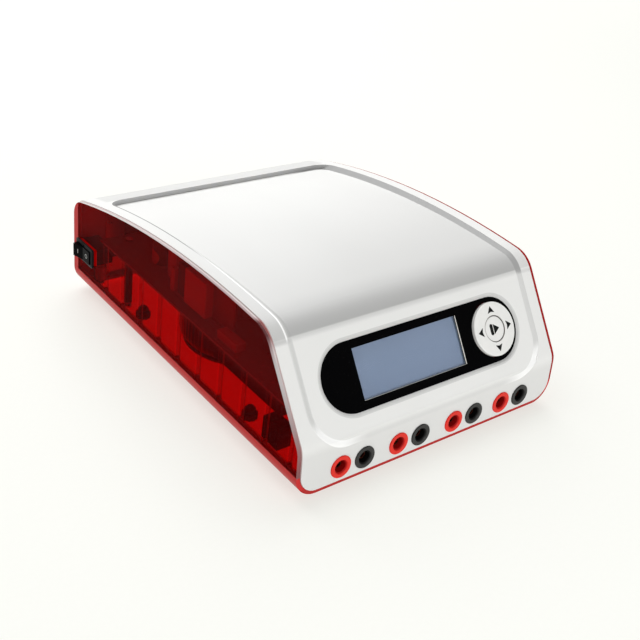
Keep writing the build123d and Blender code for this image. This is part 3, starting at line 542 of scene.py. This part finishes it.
def clear_pane(name, colour, tint):
    """Clear flat window: slight reflection, lets lamps through."""
    f = Finish(name)
    smear = f.noise(40.0, 4.0, 0.6, f.stretched(1.0, 2.0, 2.0))
    glass = f.node("BsdfPrincipled", None, {
        "Base Color": colour,
        "Roughness": 0.02 + f.ramp(smear, 0.4, 0.8) * 0.07,
        "IOR": 1.45,
        "Transmission Weight": 1.0,
    })
    lamp_ray = f.node("LightPath", output="Is Shadow Ray")
    f.show(f.mixed(lamp_ray, glass, f.film(tint)))
    return f.material


def white_cover_plastic(name):
    """Satin white moulding of the cover, with painted shade in its bend, on its faces and along
    its recess, and painted highlights on the recess edge.
    """
    f = Finish(name)
    fine = f.noise(2400.0, 3.0, 0.6)
    flow = f.noise(9.0, 3.0, 0.5, f.stretched(1.0, 0.4, 0.8))
    smudge = f.noise(42.0, 4.0, 0.62)
    tone = f.blend(f.ramp(flow, 0.3, 0.7), (0.865, 0.865, 0.855), (0.895, 0.895, 0.885))
    y = f.axis("Y") - ORIGIN.y
    side = f.axis("X") - ORIGIN.x
    across = abs(side)
    climb = f.climb()
    slant = 1.0 - f.ramp(climb, *SLANT_END)
    top = 1.0 - slant
    left = 1.0 - f.ramp(side, -0.01, 0.01)
    right = 1.0 - left
    front = f.outside(across, 0.0 - climb, RECESS_HALF, RECESS_FRONT, RECESS_FRONT_ROUND)
    rear = f.outside(across, y, RECESS_HALF, RECESS_REAR, RECESS_REAR_ROUND)
    edge = front.most(rear)
    # Painted shade: the top darker towards the front (less on the right rim), the slope, the strip
    # under the crease and the rear ledge a little darker
    rim = f.ramp(edge, 0.0, 0.0004) * right
    gradient = (1.0 - f.ramp(y, *TOP_FADE)) * top * (1.0 - rim * 0.7)
    strip = 1.0 - f.ramp(climb, *STRIP_END)
    ledge = f.ramp(y, *LEDGE_START) * (1.0 - f.ramp(across, *LEDGE_SIDE))
    for share in (gradient * 0.44, slant * 0.13, strip * 0.24, ledge * 0.24):
        tone = f.blend(share, tone, grey(0.30))
    # Painted shade in a band along the bend, paler on the rims beside the recess
    inside = 1.0 - f.ramp(across, *BEND_SIDE)
    bend = f.ramp(climb, *BEND_START) * (1.0 - f.ramp(y, *BEND_FADE))
    tone = f.blend(bend * (0.38 + inside * 0.62) * 0.86, tone, grey(0.385))
    # Sloping edge of the recess: painted shade on the right and on the slope, a painted highlight
    # in its low corners
    band = f.between(edge, -RECESS_SLOPE, 0.0, 0.0003) * f.ramp(across, *SLOPE_SIDE)
    low = 1.0 - f.ramp(climb, *SLOPE_LOW)
    tone = f.blend(band * slant * (1.0 - low) * (0.30 + right * 0.15), tone, grey(0.42))
    tone = f.blend(band * top * right * 0.95, tone, grey(0.34))
    tone = f.blend(band * slant * low * 0.9, tone, grey(1.0))
    # Its upper line: a dark hairline of painted shade at the rear, a painted glint in front on the
    # left
    line = f.between(edge, *LINE_WIDTH, 0.0002)
    back = f.ramp(y, *LINE_FADE)
    tone = f.blend(line * top * back * (0.12 + left * 0.72), tone, grey(0.06))
    glint = f.between(edge, *GLINT_WIDTH, 0.0002) * f.ramp(across, *GLINT_SIDE)
    tone = f.blend(glint * left * top * (1.0 - back) * 0.9, tone, grey(1.0))
    # Painted shade on the upright step at the recess's rear end
    facing = f.axis("Y", f.node("NewGeometry", output="True Normal"))
    step = (1.0 - f.ramp(facing, -0.7, -0.4)) * f.ramp(y, *REAR_STEP)
    tone = f.blend(step, tone, grey(0.40))
    # Painted shade on the chamfer that the display panel sits in
    above = abs(climb - BEZEL_V / 1000)
    panel = f.outside(across, above, PANEL_HALF, PANEL_ROUND, PANEL_ROUND)
    lip = f.between(panel, -0.001, PANEL_CHAMFER, 0.0003) * slant
    tone = f.blend(lip * 0.42, tone, grey(0.42))
    first = f.bump(f.ramp(edge, -RECESS_SLOPE, 0.0) * slant, 0.0009, 0.9)
    second = f.bump(f.ramp(panel, 0.0, PANEL_CHAMFER) * slant, 0.0006, 1.0, first)
    f.surface({
        "Base Color": tone,
        "Roughness": 0.46 + (smudge - 0.5) * 0.10 + (fine - 0.5) * 0.05,
        "Specular IOR Level": 0.35,
        "Coat Weight": 0.08,
        "Coat Roughness": 0.25,
        "Normal": f.bump(fine, 0.000012, 0.5, second),
    })
    return f.material


def key_plastic(name):
    """White keys of the round pad: painted shadow in the gap round the middle one, painted dark as
    shade below the panel.
    """
    f = Finish(name)
    fine = f.noise(3000.0, 3.0, 0.6)
    smudge = f.noise(120.0, 4.0, 0.62)
    across = f.axis("X") - (ORIGIN.x + RING_U / 1000)
    up = f.climb() - BEZEL_V / 1000
    reach = (across ** 2.0 + up ** 2.0) ** 0.5
    gap = f.between(reach, *KEY_GAP, 0.00012)
    tone = f.blend(f.ramp(smudge, 0.3, 0.7), (0.80, 0.80, 0.785), (0.84, 0.835, 0.82))
    # Painted shadow in the gap round the middle key; painted shade, near black, where the keys
    # sink below the panel's face
    tone = f.blend(gap * 0.8, tone, (0.16, 0.14, 0.12))
    tone = f.blend(1.0 - f.ramp(f.stand(), *KEY_SUNK), tone, grey(0.002))
    f.surface({
        "Base Color": tone,
        "Roughness": 0.36 + (smudge - 0.5) * 0.12 + (fine - 0.5) * 0.05,
        "Specular IOR Level": 0.4,
        "Coat Weight": 0.1,
        "Coat Roughness": 0.2,
        "Normal": f.bump(fine, 0.00001, 0.5),
    })
    return f.material


def wound_core(name, node):
    """Windings under clear film: radial turns, overlapping wraps, gloss."""
    f = Finish(name)
    low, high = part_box(node)
    centre = (low + high) / 2
    x = f.axis("X") - centre.x
    y = f.axis("Y") - centre.y
    angle = f.node("Math", {"operation": "ARCTAN2"}, {0: y, 1: x})
    turns = f.node("Math", {"operation": "SINE"}, {0: angle * 70.0})
    wraps = f.node("Math", {"operation": "FRACT"}, {0: angle * 2.2 + f.axis("Z") * 30.0})
    patch = f.noise(80.0, 3.0, 0.6)
    tone = f.blend(f.ramp(wraps, 0.1, 0.95), (0.012, 0.011, 0.008), (0.030, 0.022, 0.008))
    first = f.bump(turns, 0.00035, 0.5)
    f.surface({
        "Base Color": tone,
        "Roughness": 0.25 + patch * 0.22,
        "Coat Weight": 0.6,
        "Coat Roughness": 0.1,
        "Normal": f.bump(wraps, 0.0002, 0.4, first),
    })
    return f.material


def display_glass(name):
    """Unlit display: slate blue field with its fine pixel grid and a soft gradient."""
    f = Finish(name)
    low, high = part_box("lcd_module")
    across = f.ramp(f.axis("X"), low.x, high.x)
    up = f.ramp(f.axis("Z"), low.z, high.z)
    field = f.blend(up, (0.165, 0.215, 0.280), (0.205, 0.258, 0.325))
    field = f.blend(across * 0.25, field, (0.25, 0.30, 0.37))
    grid = f.node("TexBrick", {"offset": 0.0}, {
        "Vector": f.stretched(1.0, 0.0, 1.22),
        "Color1": grey(1.0),
        "Color2": grey(1.0),
        "Mortar": grey(0.0),
        "Scale": 1000.0,
        "Mortar Size": 0.03,
        "Brick Width": 0.5,
        "Row Height": 0.5,
    }, output="Fac")
    f.surface({
        "Base Color": f.blend(grid * 0.22, field, (0.10, 0.13, 0.19)),
        "Roughness": 0.35 + f.noise(30.0, 2.0) * 0.1,
    })
    return f.material


def sleeved_can(name):
    """Capacitor sleeve with its stripe, and a bare scored top."""
    f = Finish(name)
    low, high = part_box("smoothing_capacitors")
    top = f.ramp(f.axis("Z"), high.z - 0.0032, high.z - 0.0028)
    stripe = f.ramp(f.noise(35.0, 0.0), 0.56, 0.57)
    sleeve = f.blend(stripe, (0.012, 0.02, 0.06), (0.35, 0.37, 0.42))
    f.surface({
        "Base Color": f.blend(top, sleeve, (0.6, 0.6, 0.61)),
        "Metallic": top,
        "Roughness": 0.3 + f.noise(300.0, 3.0) * 0.15,
    })
    return f.material


RED, RED_SHADOW = (0.70, 0.020, 0.010), (0.38, 0.001, 0.001)
BLACK, BLACK_SHADOW = (0.026, 0.026, 0.025), grey(0.0005)

finish_of_slot = {
    "red_clear": clear_red("red_acrylic"),
    "white_plastic": white_cover_plastic("cover_white"),
    "panel_steel": plated_metal("rear_sheet_steel", (0.60, 0.60, 0.59), 0.34, (1, 30, 30), 120.0),
    "screw_steel": plated_metal("screw_steel", (0.62, 0.62, 0.60), 0.26),
    "black_gloss": polished_plastic("bezel_black", (0.0015, 0.0015, 0.0018), 0.10, 0.02),
    "lcd_clear": clear_pane("display_window", (0.93, 0.95, 1.0), (0.9, 0.92, 0.97)),
    "lcd_blue": display_glass("display_field"),
    "board_green": circuit_board("board_green", (0.075, 0.080, 0.030), (0.10, 0.12, 0.05)),
    "black_plastic": moulded_plastic("black_moulding", (0.010, 0.010, 0.011), 0.46, gloss=0.2),
    "key_white": key_plastic("key_white"),
    "pad_rubber": soft_rubber("pad_rubber", grey(0.06)),
    "socket_red": socket_plastic("socket_red", RED, RED_SHADOW, "red_socket"),
    "socket_black": socket_plastic("socket_black", BLACK, BLACK_SHADOW, "black_socket"),
    # Socket contacts: plated metal darkened to a dark reddish brown, painted shade for their place
    # deep in the sockets
    "contact_brass": plated_metal("contact_brass", (0.10, 0.022, 0.012), 0.5, grain=600.0),
    "nut_metal": plated_metal("nut_plating", (0.58, 0.57, 0.53), 0.3),
    "fuse_glass": clear_pane("fuse_glass", (0.93, 0.96, 0.95), (0.92, 0.95, 0.94)),
    "winding": wound_core("toroid_winding", "toroid_transformer"),
    "black_aluminium": plated_metal(
        "black_anodised", (0.045, 0.045, 0.048), 0.42, (1, 20, 20), 200.0),
    "capacitor_sleeve": sleeved_can("capacitor_sleeve"),
    "relay_case": moulded_plastic("relay_case", (0.02, 0.10, 0.26), 0.3, 1500.0, 0.00001),
    "ferrite": moulded_plastic("ferrite_core", (0.035, 0.034, 0.034), 0.55, 1100.0, 0.00004),
    "foot_rubber": soft_rubber("foot_rubber", grey(0.035)),
}
slot_of_node = {row["node"]: row["material_slot"] for row in frame["record"]["subparts"]}


def paint(obj, material):
    """Give an object one material."""
    obj.data.materials.clear()
    obj.data.materials.append(material)


for name, obj in nodes.items():
    paint(obj, finish_of_slot[slot_of_node[name]])

# ---------------------------------------------------------------- making pieces


def pick(kind, test):
    """In edit mode, select the vertices or faces whose middle passes the test."""
    bpy.ops.mesh.select_mode(type={"verts": "VERT", "faces": "FACE"}[kind])
    bpy.ops.mesh.select_all(action="DESELECT")
    mesh = bmesh.from_edit_mesh(bpy.context.object.data)
    for part in getattr(mesh, kind):
        corners = [part] if kind == "verts" else list(part.verts)
        if test(sum((corner.co for corner in corners), Vector()) / len(corners)):
            part.select_set(True)
    mesh.select_flush_mode()
    bmesh.update_edit_mesh(bpy.context.object.data)


def shift(x=0.0, y=0.0, z=0.0):
    bpy.ops.transform.translate(value=(x, y, z))


def disc(vertices, radius):
    """Flat polygon about the origin, open for editing."""
    bpy.ops.mesh.primitive_circle_add(vertices=vertices, radius=radius, fill_type="NGON")
    bpy.ops.object.mode_set(mode="EDIT")


def hollow(width):
    """Leave only a border of the flat shape in edit mode."""
    bpy.ops.mesh.select_all(action="SELECT")
    bpy.ops.mesh.inset(thickness=width)
    bpy.ops.mesh.delete(type="FACE")


def thicken(height):
    """Give the flat shape in edit mode a thickness."""
    bpy.ops.mesh.select_all(action="SELECT")
    bpy.ops.mesh.extrude_region_move(TRANSFORM_OT_translate={"value": (0, 0, height)})
    bpy.ops.mesh.select_all(action="SELECT")
    bpy.ops.mesh.normals_make_consistent(inside=False)


def soften(piece, width, segments=2):
    """Round the edges of a piece."""
    bevel = piece.modifiers.new("edges", "BEVEL")
    bevel.width, bevel.segments, bevel.limit_method = width, segments, "ANGLE"
    bpy.ops.object.modifier_apply(modifier=bevel.name)


def settle(name, place, material, body):
    """Name a piece modelled in millimetres, put it in its place and let it ride on its body."""
    if bpy.context.object.mode == "EDIT":
        bpy.ops.object.mode_set(mode="OBJECT")
    piece = bpy.context.object
    piece.name = piece.data.name = name
    piece.matrix_world = place @ Matrix.Scale(0.001, 4)
    bpy.ops.object.transform_apply(location=True, rotation=True, scale=True)
    bpy.ops.object.shade_smooth_by_angle(angle=math.radians(30))
    paint(piece, material)
    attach(piece, body)
    bpy.ops.object.select_all(action="DESELECT")


def copied(piece, name):
    """A copy with its own mesh, selected and active."""
    bpy.ops.object.select_all(action="DESELECT")
    copy = piece.copy()
    copy.data = piece.data.copy()
    copy.name = copy.data.name = name
    bpy.context.scene.collection.objects.link(copy)
    copy.select_set(True)
    bpy.context.view_layer.objects.active = copy
    return copy


def joined(pieces):
    """Join pieces into one object."""
    bpy.ops.object.select_all(action="DESELECT")
    for piece in pieces:
        piece.select_set(True)
    bpy.context.view_layer.objects.active = pieces[0]
    bpy.ops.object.join()
    return bpy.context.object


def block(low, high, edge, border=0.0, sink=0.0):
    """Rounded block between two corners in millimetres, with a sunk panel on its left face."""
    low, high = Vector(low), Vector(high)
    bpy.ops.object.select_all(action="DESELECT")
    bpy.ops.mesh.primitive_cube_add(size=1, location=(low + high) / 2)
    piece = bpy.context.object
    piece.scale = high - low
    bpy.ops.object.transform_apply(location=True, rotation=True, scale=True)
    if border:
        bpy.ops.object.mode_set(mode="EDIT")
        pick("faces", lambda p: p.x < low.x + 0.01)
        bpy.ops.mesh.inset(thickness=border)
        shift(x=sink)
        bpy.ops.object.mode_set(mode="OBJECT")
    soften(piece, edge)
    return piece


# ---------------------------------------------------------------- keys and their marks


def make_low_keys():
    """Ring and button set a little lower than their solids, the ring's rim a little smaller."""
    place = slant_frame(RING_U, BEZEL_V)
    for node, body in (("navigation_ring", "ring"), ("run_button", "button")):
        key = copied(nodes[node], node + "_low")
        mesh = bmesh.new()
        mesh.from_mesh(key.data)
        bmesh.ops.remove_doubles(mesh, verts=mesh.verts, dist=0.000002)
        for vertex in mesh.verts:
            at = place.inverted() @ vertex.co
            reach = math.hypot(at.x, at.y)
            if reach > RING_RIM / 1000:
                share = (reach - RIM_SHRINK / 1000) / reach
                at.x, at.y = at.x * share, at.y * share
            if at.z > KEY_BACK / 1000:
                at.z -= KEY_DROP / 1000
            vertex.co = place @ at
        mesh.to_mesh(key.data)
        mesh.free()
        bpy.ops.object.shade_smooth_by_angle(angle=math.radians(30))
        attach(key, body)
        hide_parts(node)
        bpy.ops.object.select_all(action="DESELECT")


def make_ring_gap_shade():
    """Black lip in the bezel's bore that closes the gap round the ring: a dark piece standing in
    for the shade in that gap.
    """
    place = slant_frame(RING_U, BEZEL_V, GAP_SHADE_BACK)
    disc(96, GAP_SHADE_RADIUS)
    hollow(GAP_SHADE_WIDTH)
    thicken(GAP_SHADE_HEIGHT)
    settle("ring_gap_shade", place, finish_of_slot["black_gloss"], "base")


def arrow_blank():
    """Notched arrowhead that points up: a square on its corner, swept back and notched below."""
    disc(4, ARROW_RADIUS)
    pick("verts", lambda p: abs(p.x) > ARROW_RADIUS / 2)
    shift(y=ARROW_SWEEP)
    bpy.ops.transform.resize(value=(ARROW_SPREAD, 1, 1))
    pick("verts", lambda p: p.y < ARROW_SWEEP * 1.2)
    shift(y=ARROW_NOTCH)
    thicken(MARK_HEIGHT)
    bpy.ops.object.mode_set(mode="OBJECT")
    return bpy.context.object


def make_pad_marks():
    """Arrows printed on the ring, and the run mark on the middle button."""
    ink = moulded_plastic("mark_ink", grey(0.004), 0.5, 1500.0, 0.000004, gloss=0.15)
    blank = arrow_blank()
    place = slant_frame(RING_U, BEZEL_V, RING_TOP - MARK_SINK)
    out = Matrix.Translation((0, ARROW_REACH / 1000, 0))
    for index, name in enumerate(("arrow_up", "arrow_left", "arrow_down", "arrow_right")):
        copied(blank, name)
        turn = Matrix.Rotation(math.radians(90 * index), 4, "Z")
        settle(name, place @ turn @ out, ink, "ring")
    bpy.data.objects.remove(blank)
    place = slant_frame(RING_U, BEZEL_V, BUTTON_TOP - MARK_SINK)
    disc(24, RUN_BAR_RADIUS)
    pick("verts", lambda p: p.y > 0.01)
    shift(y=RUN_BAR_STRETCH)
    pick("verts", lambda p: p.y < -0.01)
    shift(y=-RUN_BAR_STRETCH)
    thicken(MARK_HEIGHT)
    shift(x=RUN_BAR_X)
    settle("run_mark_bar", place, ink, "button")
    disc(3, RUN_ARROW_RADIUS)
    thicken(MARK_HEIGHT)
    bpy.ops.transform.resize(value=(1.25, 1.08, 1))
    shift(y=RUN_ARROW_SHIFT)
    place = place @ Matrix.Rotation(math.radians(-90), 4, "Z")
    settle("run_mark_arrow", place, ink, "button")


# ---------------------------------------------------------------- window lip and inner parts


def make_window_lip():
    """Light lip on the right and lower edges of the display opening, and a black line inside it as
    painted shadow.
    """
    light = moulded_plastic("lip_grey", (0.80, 0.80, 0.76), 0.4, 1500.0, 0.000004)
    place = slant_frame(0, 0, WINDOW_FACE)
    right, low, high = WINDOW_RIGHT, WINDOW_LOW, WINDOW_HIGH
    foot = low + LIP_GAP
    joined([
        block((right - LIP_UPRIGHT, foot, 0), (right - LIP_GAP, high - LIP_GAP, 0.12), LIP_EDGE),
        block((WINDOW_LEFT + 0.1, foot, 0), (right - 0.5, low + LIP_LEVEL, 0.11), LIP_EDGE),
    ])
    settle("window_lip", place, light, "base")
    # Black line inside the lip: painted shadow
    block((right - LINE_INNER, low + 0.35, 0), (right - LINE_OUTER, high - 0.1, 0.10), LIP_EDGE)
    settle("window_lip_line", place, finish_of_slot["black_gloss"], "base")


def make_inner_parts():
    """Module, chip and edge strip on the upright card, a choke before it, clamps on the floor."""
    case = Matrix.Translation(ORIGIN)
    black = finish_of_slot["black_plastic"]
    pale = moulded_plastic("module_case", (0.30, 0.28, 0.25), 0.42, 1500.0, 0.00001)
    for name, low, high, edge, border, sink, finish, slot in (
        ("driver_module", (-105.0, 121.0, 58.0), (CARD_FACE, 147.0, 83.6),
         0.5, 1.6, 0.35, pale, "relay_case"),
        ("driver_chip", (-101.6, 150.5, 57.0), (CARD_FACE, 161.0, 80.5),
         0.4, 1.0, 0.2, black, "black_plastic"),
        ("card_header", (-103.6, 163.0, 57.0), (CARD_FACE, 167.4, 74.0),
         0.4, 0.9, 1.2, pale, "relay_case"),
        ("board_choke", (-106.0, 82.0, 54.5), (-98.0, 104.0, 60.5),
         0.6, 1.4, 0.4, pale, "relay_case"),
    ):
        block(low, high, edge, border, sink)
        settle(name, case, finish, "base")
    fronts = (CLAMP_FRONT, CLAMP_FRONT + CLAMP_PITCH)
    joined([
        block((-98.0, front, 2.9), (-87.0, front + CLAMP_LENGTH, 20.0), 0.6, 2.0, 4.0)
        for front in fronts
    ])
    settle("terminal_block", case, black, "base")


# ---------------------------------------------------------------- screws


def screw_blank(length):
    """Pan-head screw with a cross recess, its head outwards along Z from the origin."""
    bpy.ops.mesh.primitive_cylinder_add(
        vertices=32, radius=HEAD_RADIUS, depth=HEAD_STEPS[0], location=(0, 0, HEAD_STEPS[0] / 2))
    head = bpy.context.object
    bpy.ops.object.transform_apply(location=True, rotation=False, scale=False)
    bpy.ops.object.mode_set(mode="EDIT")
    pick("faces", lambda p: p.z > 0.8)
    for step, taper in zip(HEAD_STEPS[1:], HEAD_TAPERS):
        bpy.ops.mesh.extrude_region_move(TRANSFORM_OT_translate={"value": (0, 0, step)})
        bpy.ops.transform.resize(value=(taper, taper, 1))
    bpy.ops.object.mode_set(mode="OBJECT")
    for arm in ((CROSS_LENGTH, CROSS_WIDTH), (CROSS_WIDTH, CROSS_LENGTH)):
        bpy.ops.object.select_all(action="DESELECT")
        bpy.ops.mesh.primitive_cube_add(size=1, location=(0, 0, CROSS_MIDDLE))
        cutter = bpy.context.object
        cutter.scale = (*arm, CROSS_TALL)
        bpy.ops.object.transform_apply(location=True, rotation=True, scale=True)
        bpy.context.view_layer.objects.active = head
        recess = head.modifiers.new("recess", "BOOLEAN")
        recess.operation, recess.object, recess.solver = "DIFFERENCE", cutter, "EXACT"
        bpy.ops.object.modifier_apply(modifier=recess.name)
        bpy.data.objects.remove(cutter)
    bpy.ops.object.select_all(action="DESELECT")
    bpy.ops.mesh.primitive_cylinder_add(
        vertices=20, radius=SHANK_RADIUS, depth=length, location=(0, 0, -length / 2))
    return joined([head, bpy.context.object])


def make_screws(node, turn, head_axis, head_side):
    """Four crossed screws in place of a node, at the corners of its box."""
    low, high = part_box(node)
    inset, height = HEAD_RADIUS / 1000, HEAD_HEIGHT / 1000
    side_axes = [axis for axis in range(3) if axis != head_axis]
    blank = screw_blank(((high - low)[head_axis] - height) * 1000)
    screws = []
    for first in (low[side_axes[0]] + inset, high[side_axes[0]] - inset):
        for second in (low[side_axes[1]] + inset, high[side_axes[1]] - inset):
            place = Vector((0, 0, 0))
            place[side_axes[0]], place[side_axes[1]] = first, second
            seat = high[head_axis] - height if head_side > 0 else low[head_axis] + height
            place[head_axis] = seat
            screw = copied(blank, "screw")
            screw.matrix_world = Matrix.Translation(place) @ turn
            screw.scale = (0.001, 0.001, 0.001)
            bpy.ops.object.transform_apply(location=True, rotation=True, scale=True)
            screws.append(screw)
    bpy.data.objects.remove(blank)
    piece = joined(screws)
    piece.name = piece.data.name = node + "_crossed"
    bpy.ops.object.shade_smooth_by_angle(angle=math.radians(30))
    paint(piece, finish_of_slot["screw_steel"])
    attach(piece, "base")
    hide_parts(node)
    bpy.ops.object.select_all(action="DESELECT")


def make_rocker_marks():
    """On bar and off ring printed on the rocker's two faces."""
    ink = moulded_plastic("switch_mark_ink", (0.34, 0.34, 0.33), 0.5, 1500.0, 0.000004)
    hinge = spot(SWITCH_PIVOT_X, SWITCH_Y, SWITCH_Z)
    lean = math.radians(ROCKER_TILT)
    rocker = Matrix(((0, -1, 0), (1, 0, 0), (0, 0, 1))).to_4x4()
    rocker = Matrix.Translation(hinge) @ rocker @ Matrix.Rotation(lean, 4, "Z")
    for side, name in ((-1, "mark_off"), (1, "mark_on")):
        out = Vector((-side * math.sin(lean), math.cos(lean), 0))
        face = Matrix(((-out.y, 0, out.x), (out.x, 0, out.y), (0, 1, 0))).to_4x4()
        centre = Vector((side * ROCKER_MIDDLE, ROCKER_RISE, 0)) / 1000
        if side > 0:
            bpy.ops.mesh.primitive_plane_add(size=1)
            bpy.ops.object.mode_set(mode="EDIT")
            bpy.ops.transform.resize(value=ON_BAR)
        else:
            disc(40, OFF_RING_RADIUS)
            hollow(OFF_RING_WIDTH)
        thicken(ROCKER_MARK_HEIGHT)
        place = rocker @ Matrix.Translation(centre) @ face
        settle(name, place, ink, "rocker")


make_low_keys()
make_ring_gap_shade()
make_pad_marks()
make_window_lip()
make_inner_parts()
rearwards = Matrix.Rotation(math.radians(-90), 4, "X")
downwards = Matrix.Rotation(math.radians(180), 4, "X")
make_screws("panel_screws", rearwards, 1, 1)
make_screws("fan_screws", rearwards, 1, 1)
make_screws("cover_screws", downwards, 2, -1)
make_rocker_marks()

# ---------------------------------------------------------------- stage, light and camera


def make_camera():
    yaw, pitch, roll = (math.radians(angle) for angle in CAMERA_ANGLES)
    level = Vector((math.cos(yaw), -math.sin(yaw), 0))
    forward = Vector((
        math.sin(yaw) * math.cos(pitch),
        math.cos(yaw) * math.cos(pitch),
        -math.sin(pitch),
    ))
    rise = level.cross(forward)
    right = math.cos(roll) * level + math.sin(roll) * rise
    up = math.cos(roll) * rise - math.sin(roll) * level
    matrix = Matrix((right, up, -forward)).transposed().to_4x4()
    matrix.translation = spot(*CAMERA_PLACE)
    camera = bpy.data.objects.new("camera", bpy.data.cameras.new("camera"))
    camera.data.sensor_fit = "HORIZONTAL"
    camera.data.sensor_width = SENSOR_WIDTH
    camera.data.lens = CAMERA_FOCUS / PICTURE_WIDTH * SENSOR_WIDTH
    camera.data.clip_start = 0.01
    camera.matrix_world = matrix
    bpy.context.scene.collection.objects.link(camera)
    bpy.context.scene.camera = camera


def make_light(name, place, size, power):
    """Softbox turned towards the object."""
    light = bpy.data.lights.new(name, "AREA")
    light.shape = "RECTANGLE"
    light.size, light.size_y = size
    light.energy = power
    lamp = bpy.data.objects.new(name, light)
    lamp.location = place
    lamp.rotation_euler = (Vector(TARGET) - Vector(place)).to_track_quat("-Z", "Y").to_euler()
    bpy.context.scene.collection.objects.link(lamp)


def make_stage():
    """Studio floor of pale paper, brighter far away."""
    bpy.ops.mesh.primitive_plane_add(size=FLOOR_SIZE, location=(0, 0, 0))
    floor = bpy.context.object
    floor.name = "studio_floor"
    f = Finish("floor_paper")
    fine = f.noise(300.0, 3.0, 0.6)
    far = f.ramp((f.axis("X") ** 2.0 + f.axis("Y") ** 2.0) ** 0.5, *FLOOR_FADE)
    f.surface({
        "Base Color": f.blend(fine, (0.29, 0.29, 0.28), (0.31, 0.31, 0.30)),
        "Roughness": 0.9,
        "Emission Color": f.blend(far, (0.640, 0.645, 0.612), (0.84, 0.845, 0.805)),
        "Emission Strength": 1.0,
    })
    paint(floor, f.material)
    floor.select_set(False)


def make_world():
    """Even white sky, brighter to the camera than as a lamp."""
    world = bpy.data.worlds.new("studio")
    world.use_nodes = True
    studio = world.node_tree
    sky = studio.nodes["Background"]
    sky.inputs["Color"].default_value = (1.0, 1.0, 0.97, 1.0)
    seen = studio.nodes.new("ShaderNodeLightPath")
    strength = studio.nodes.new("ShaderNodeMapRange")
    strength.inputs["To Min"].default_value = WORLD_LIGHT
    strength.inputs["To Max"].default_value = WORLD_SEEN
    studio.links.new(seen.outputs["Is Camera Ray"], strength.inputs["Value"])
    studio.links.new(strength.outputs["Result"], sky.inputs["Strength"])
    bpy.context.scene.world = world


make_camera()
make_stage()
make_light("rear_softbox", (0.15, 1.10, 1.60), (2.2, 2.0), 42.0)
make_light("front_softbox", (-0.2, -1.9, 0.75), (1.5, 1.0), 20.0)
make_light("left_softbox", (-1.9, 0.2, 0.9), (1.2, 1.0), 2.5)
make_world()
bpy.context.scene.view_settings.view_transform = "Standard"
bpy.context.scene.view_settings.look = "None"
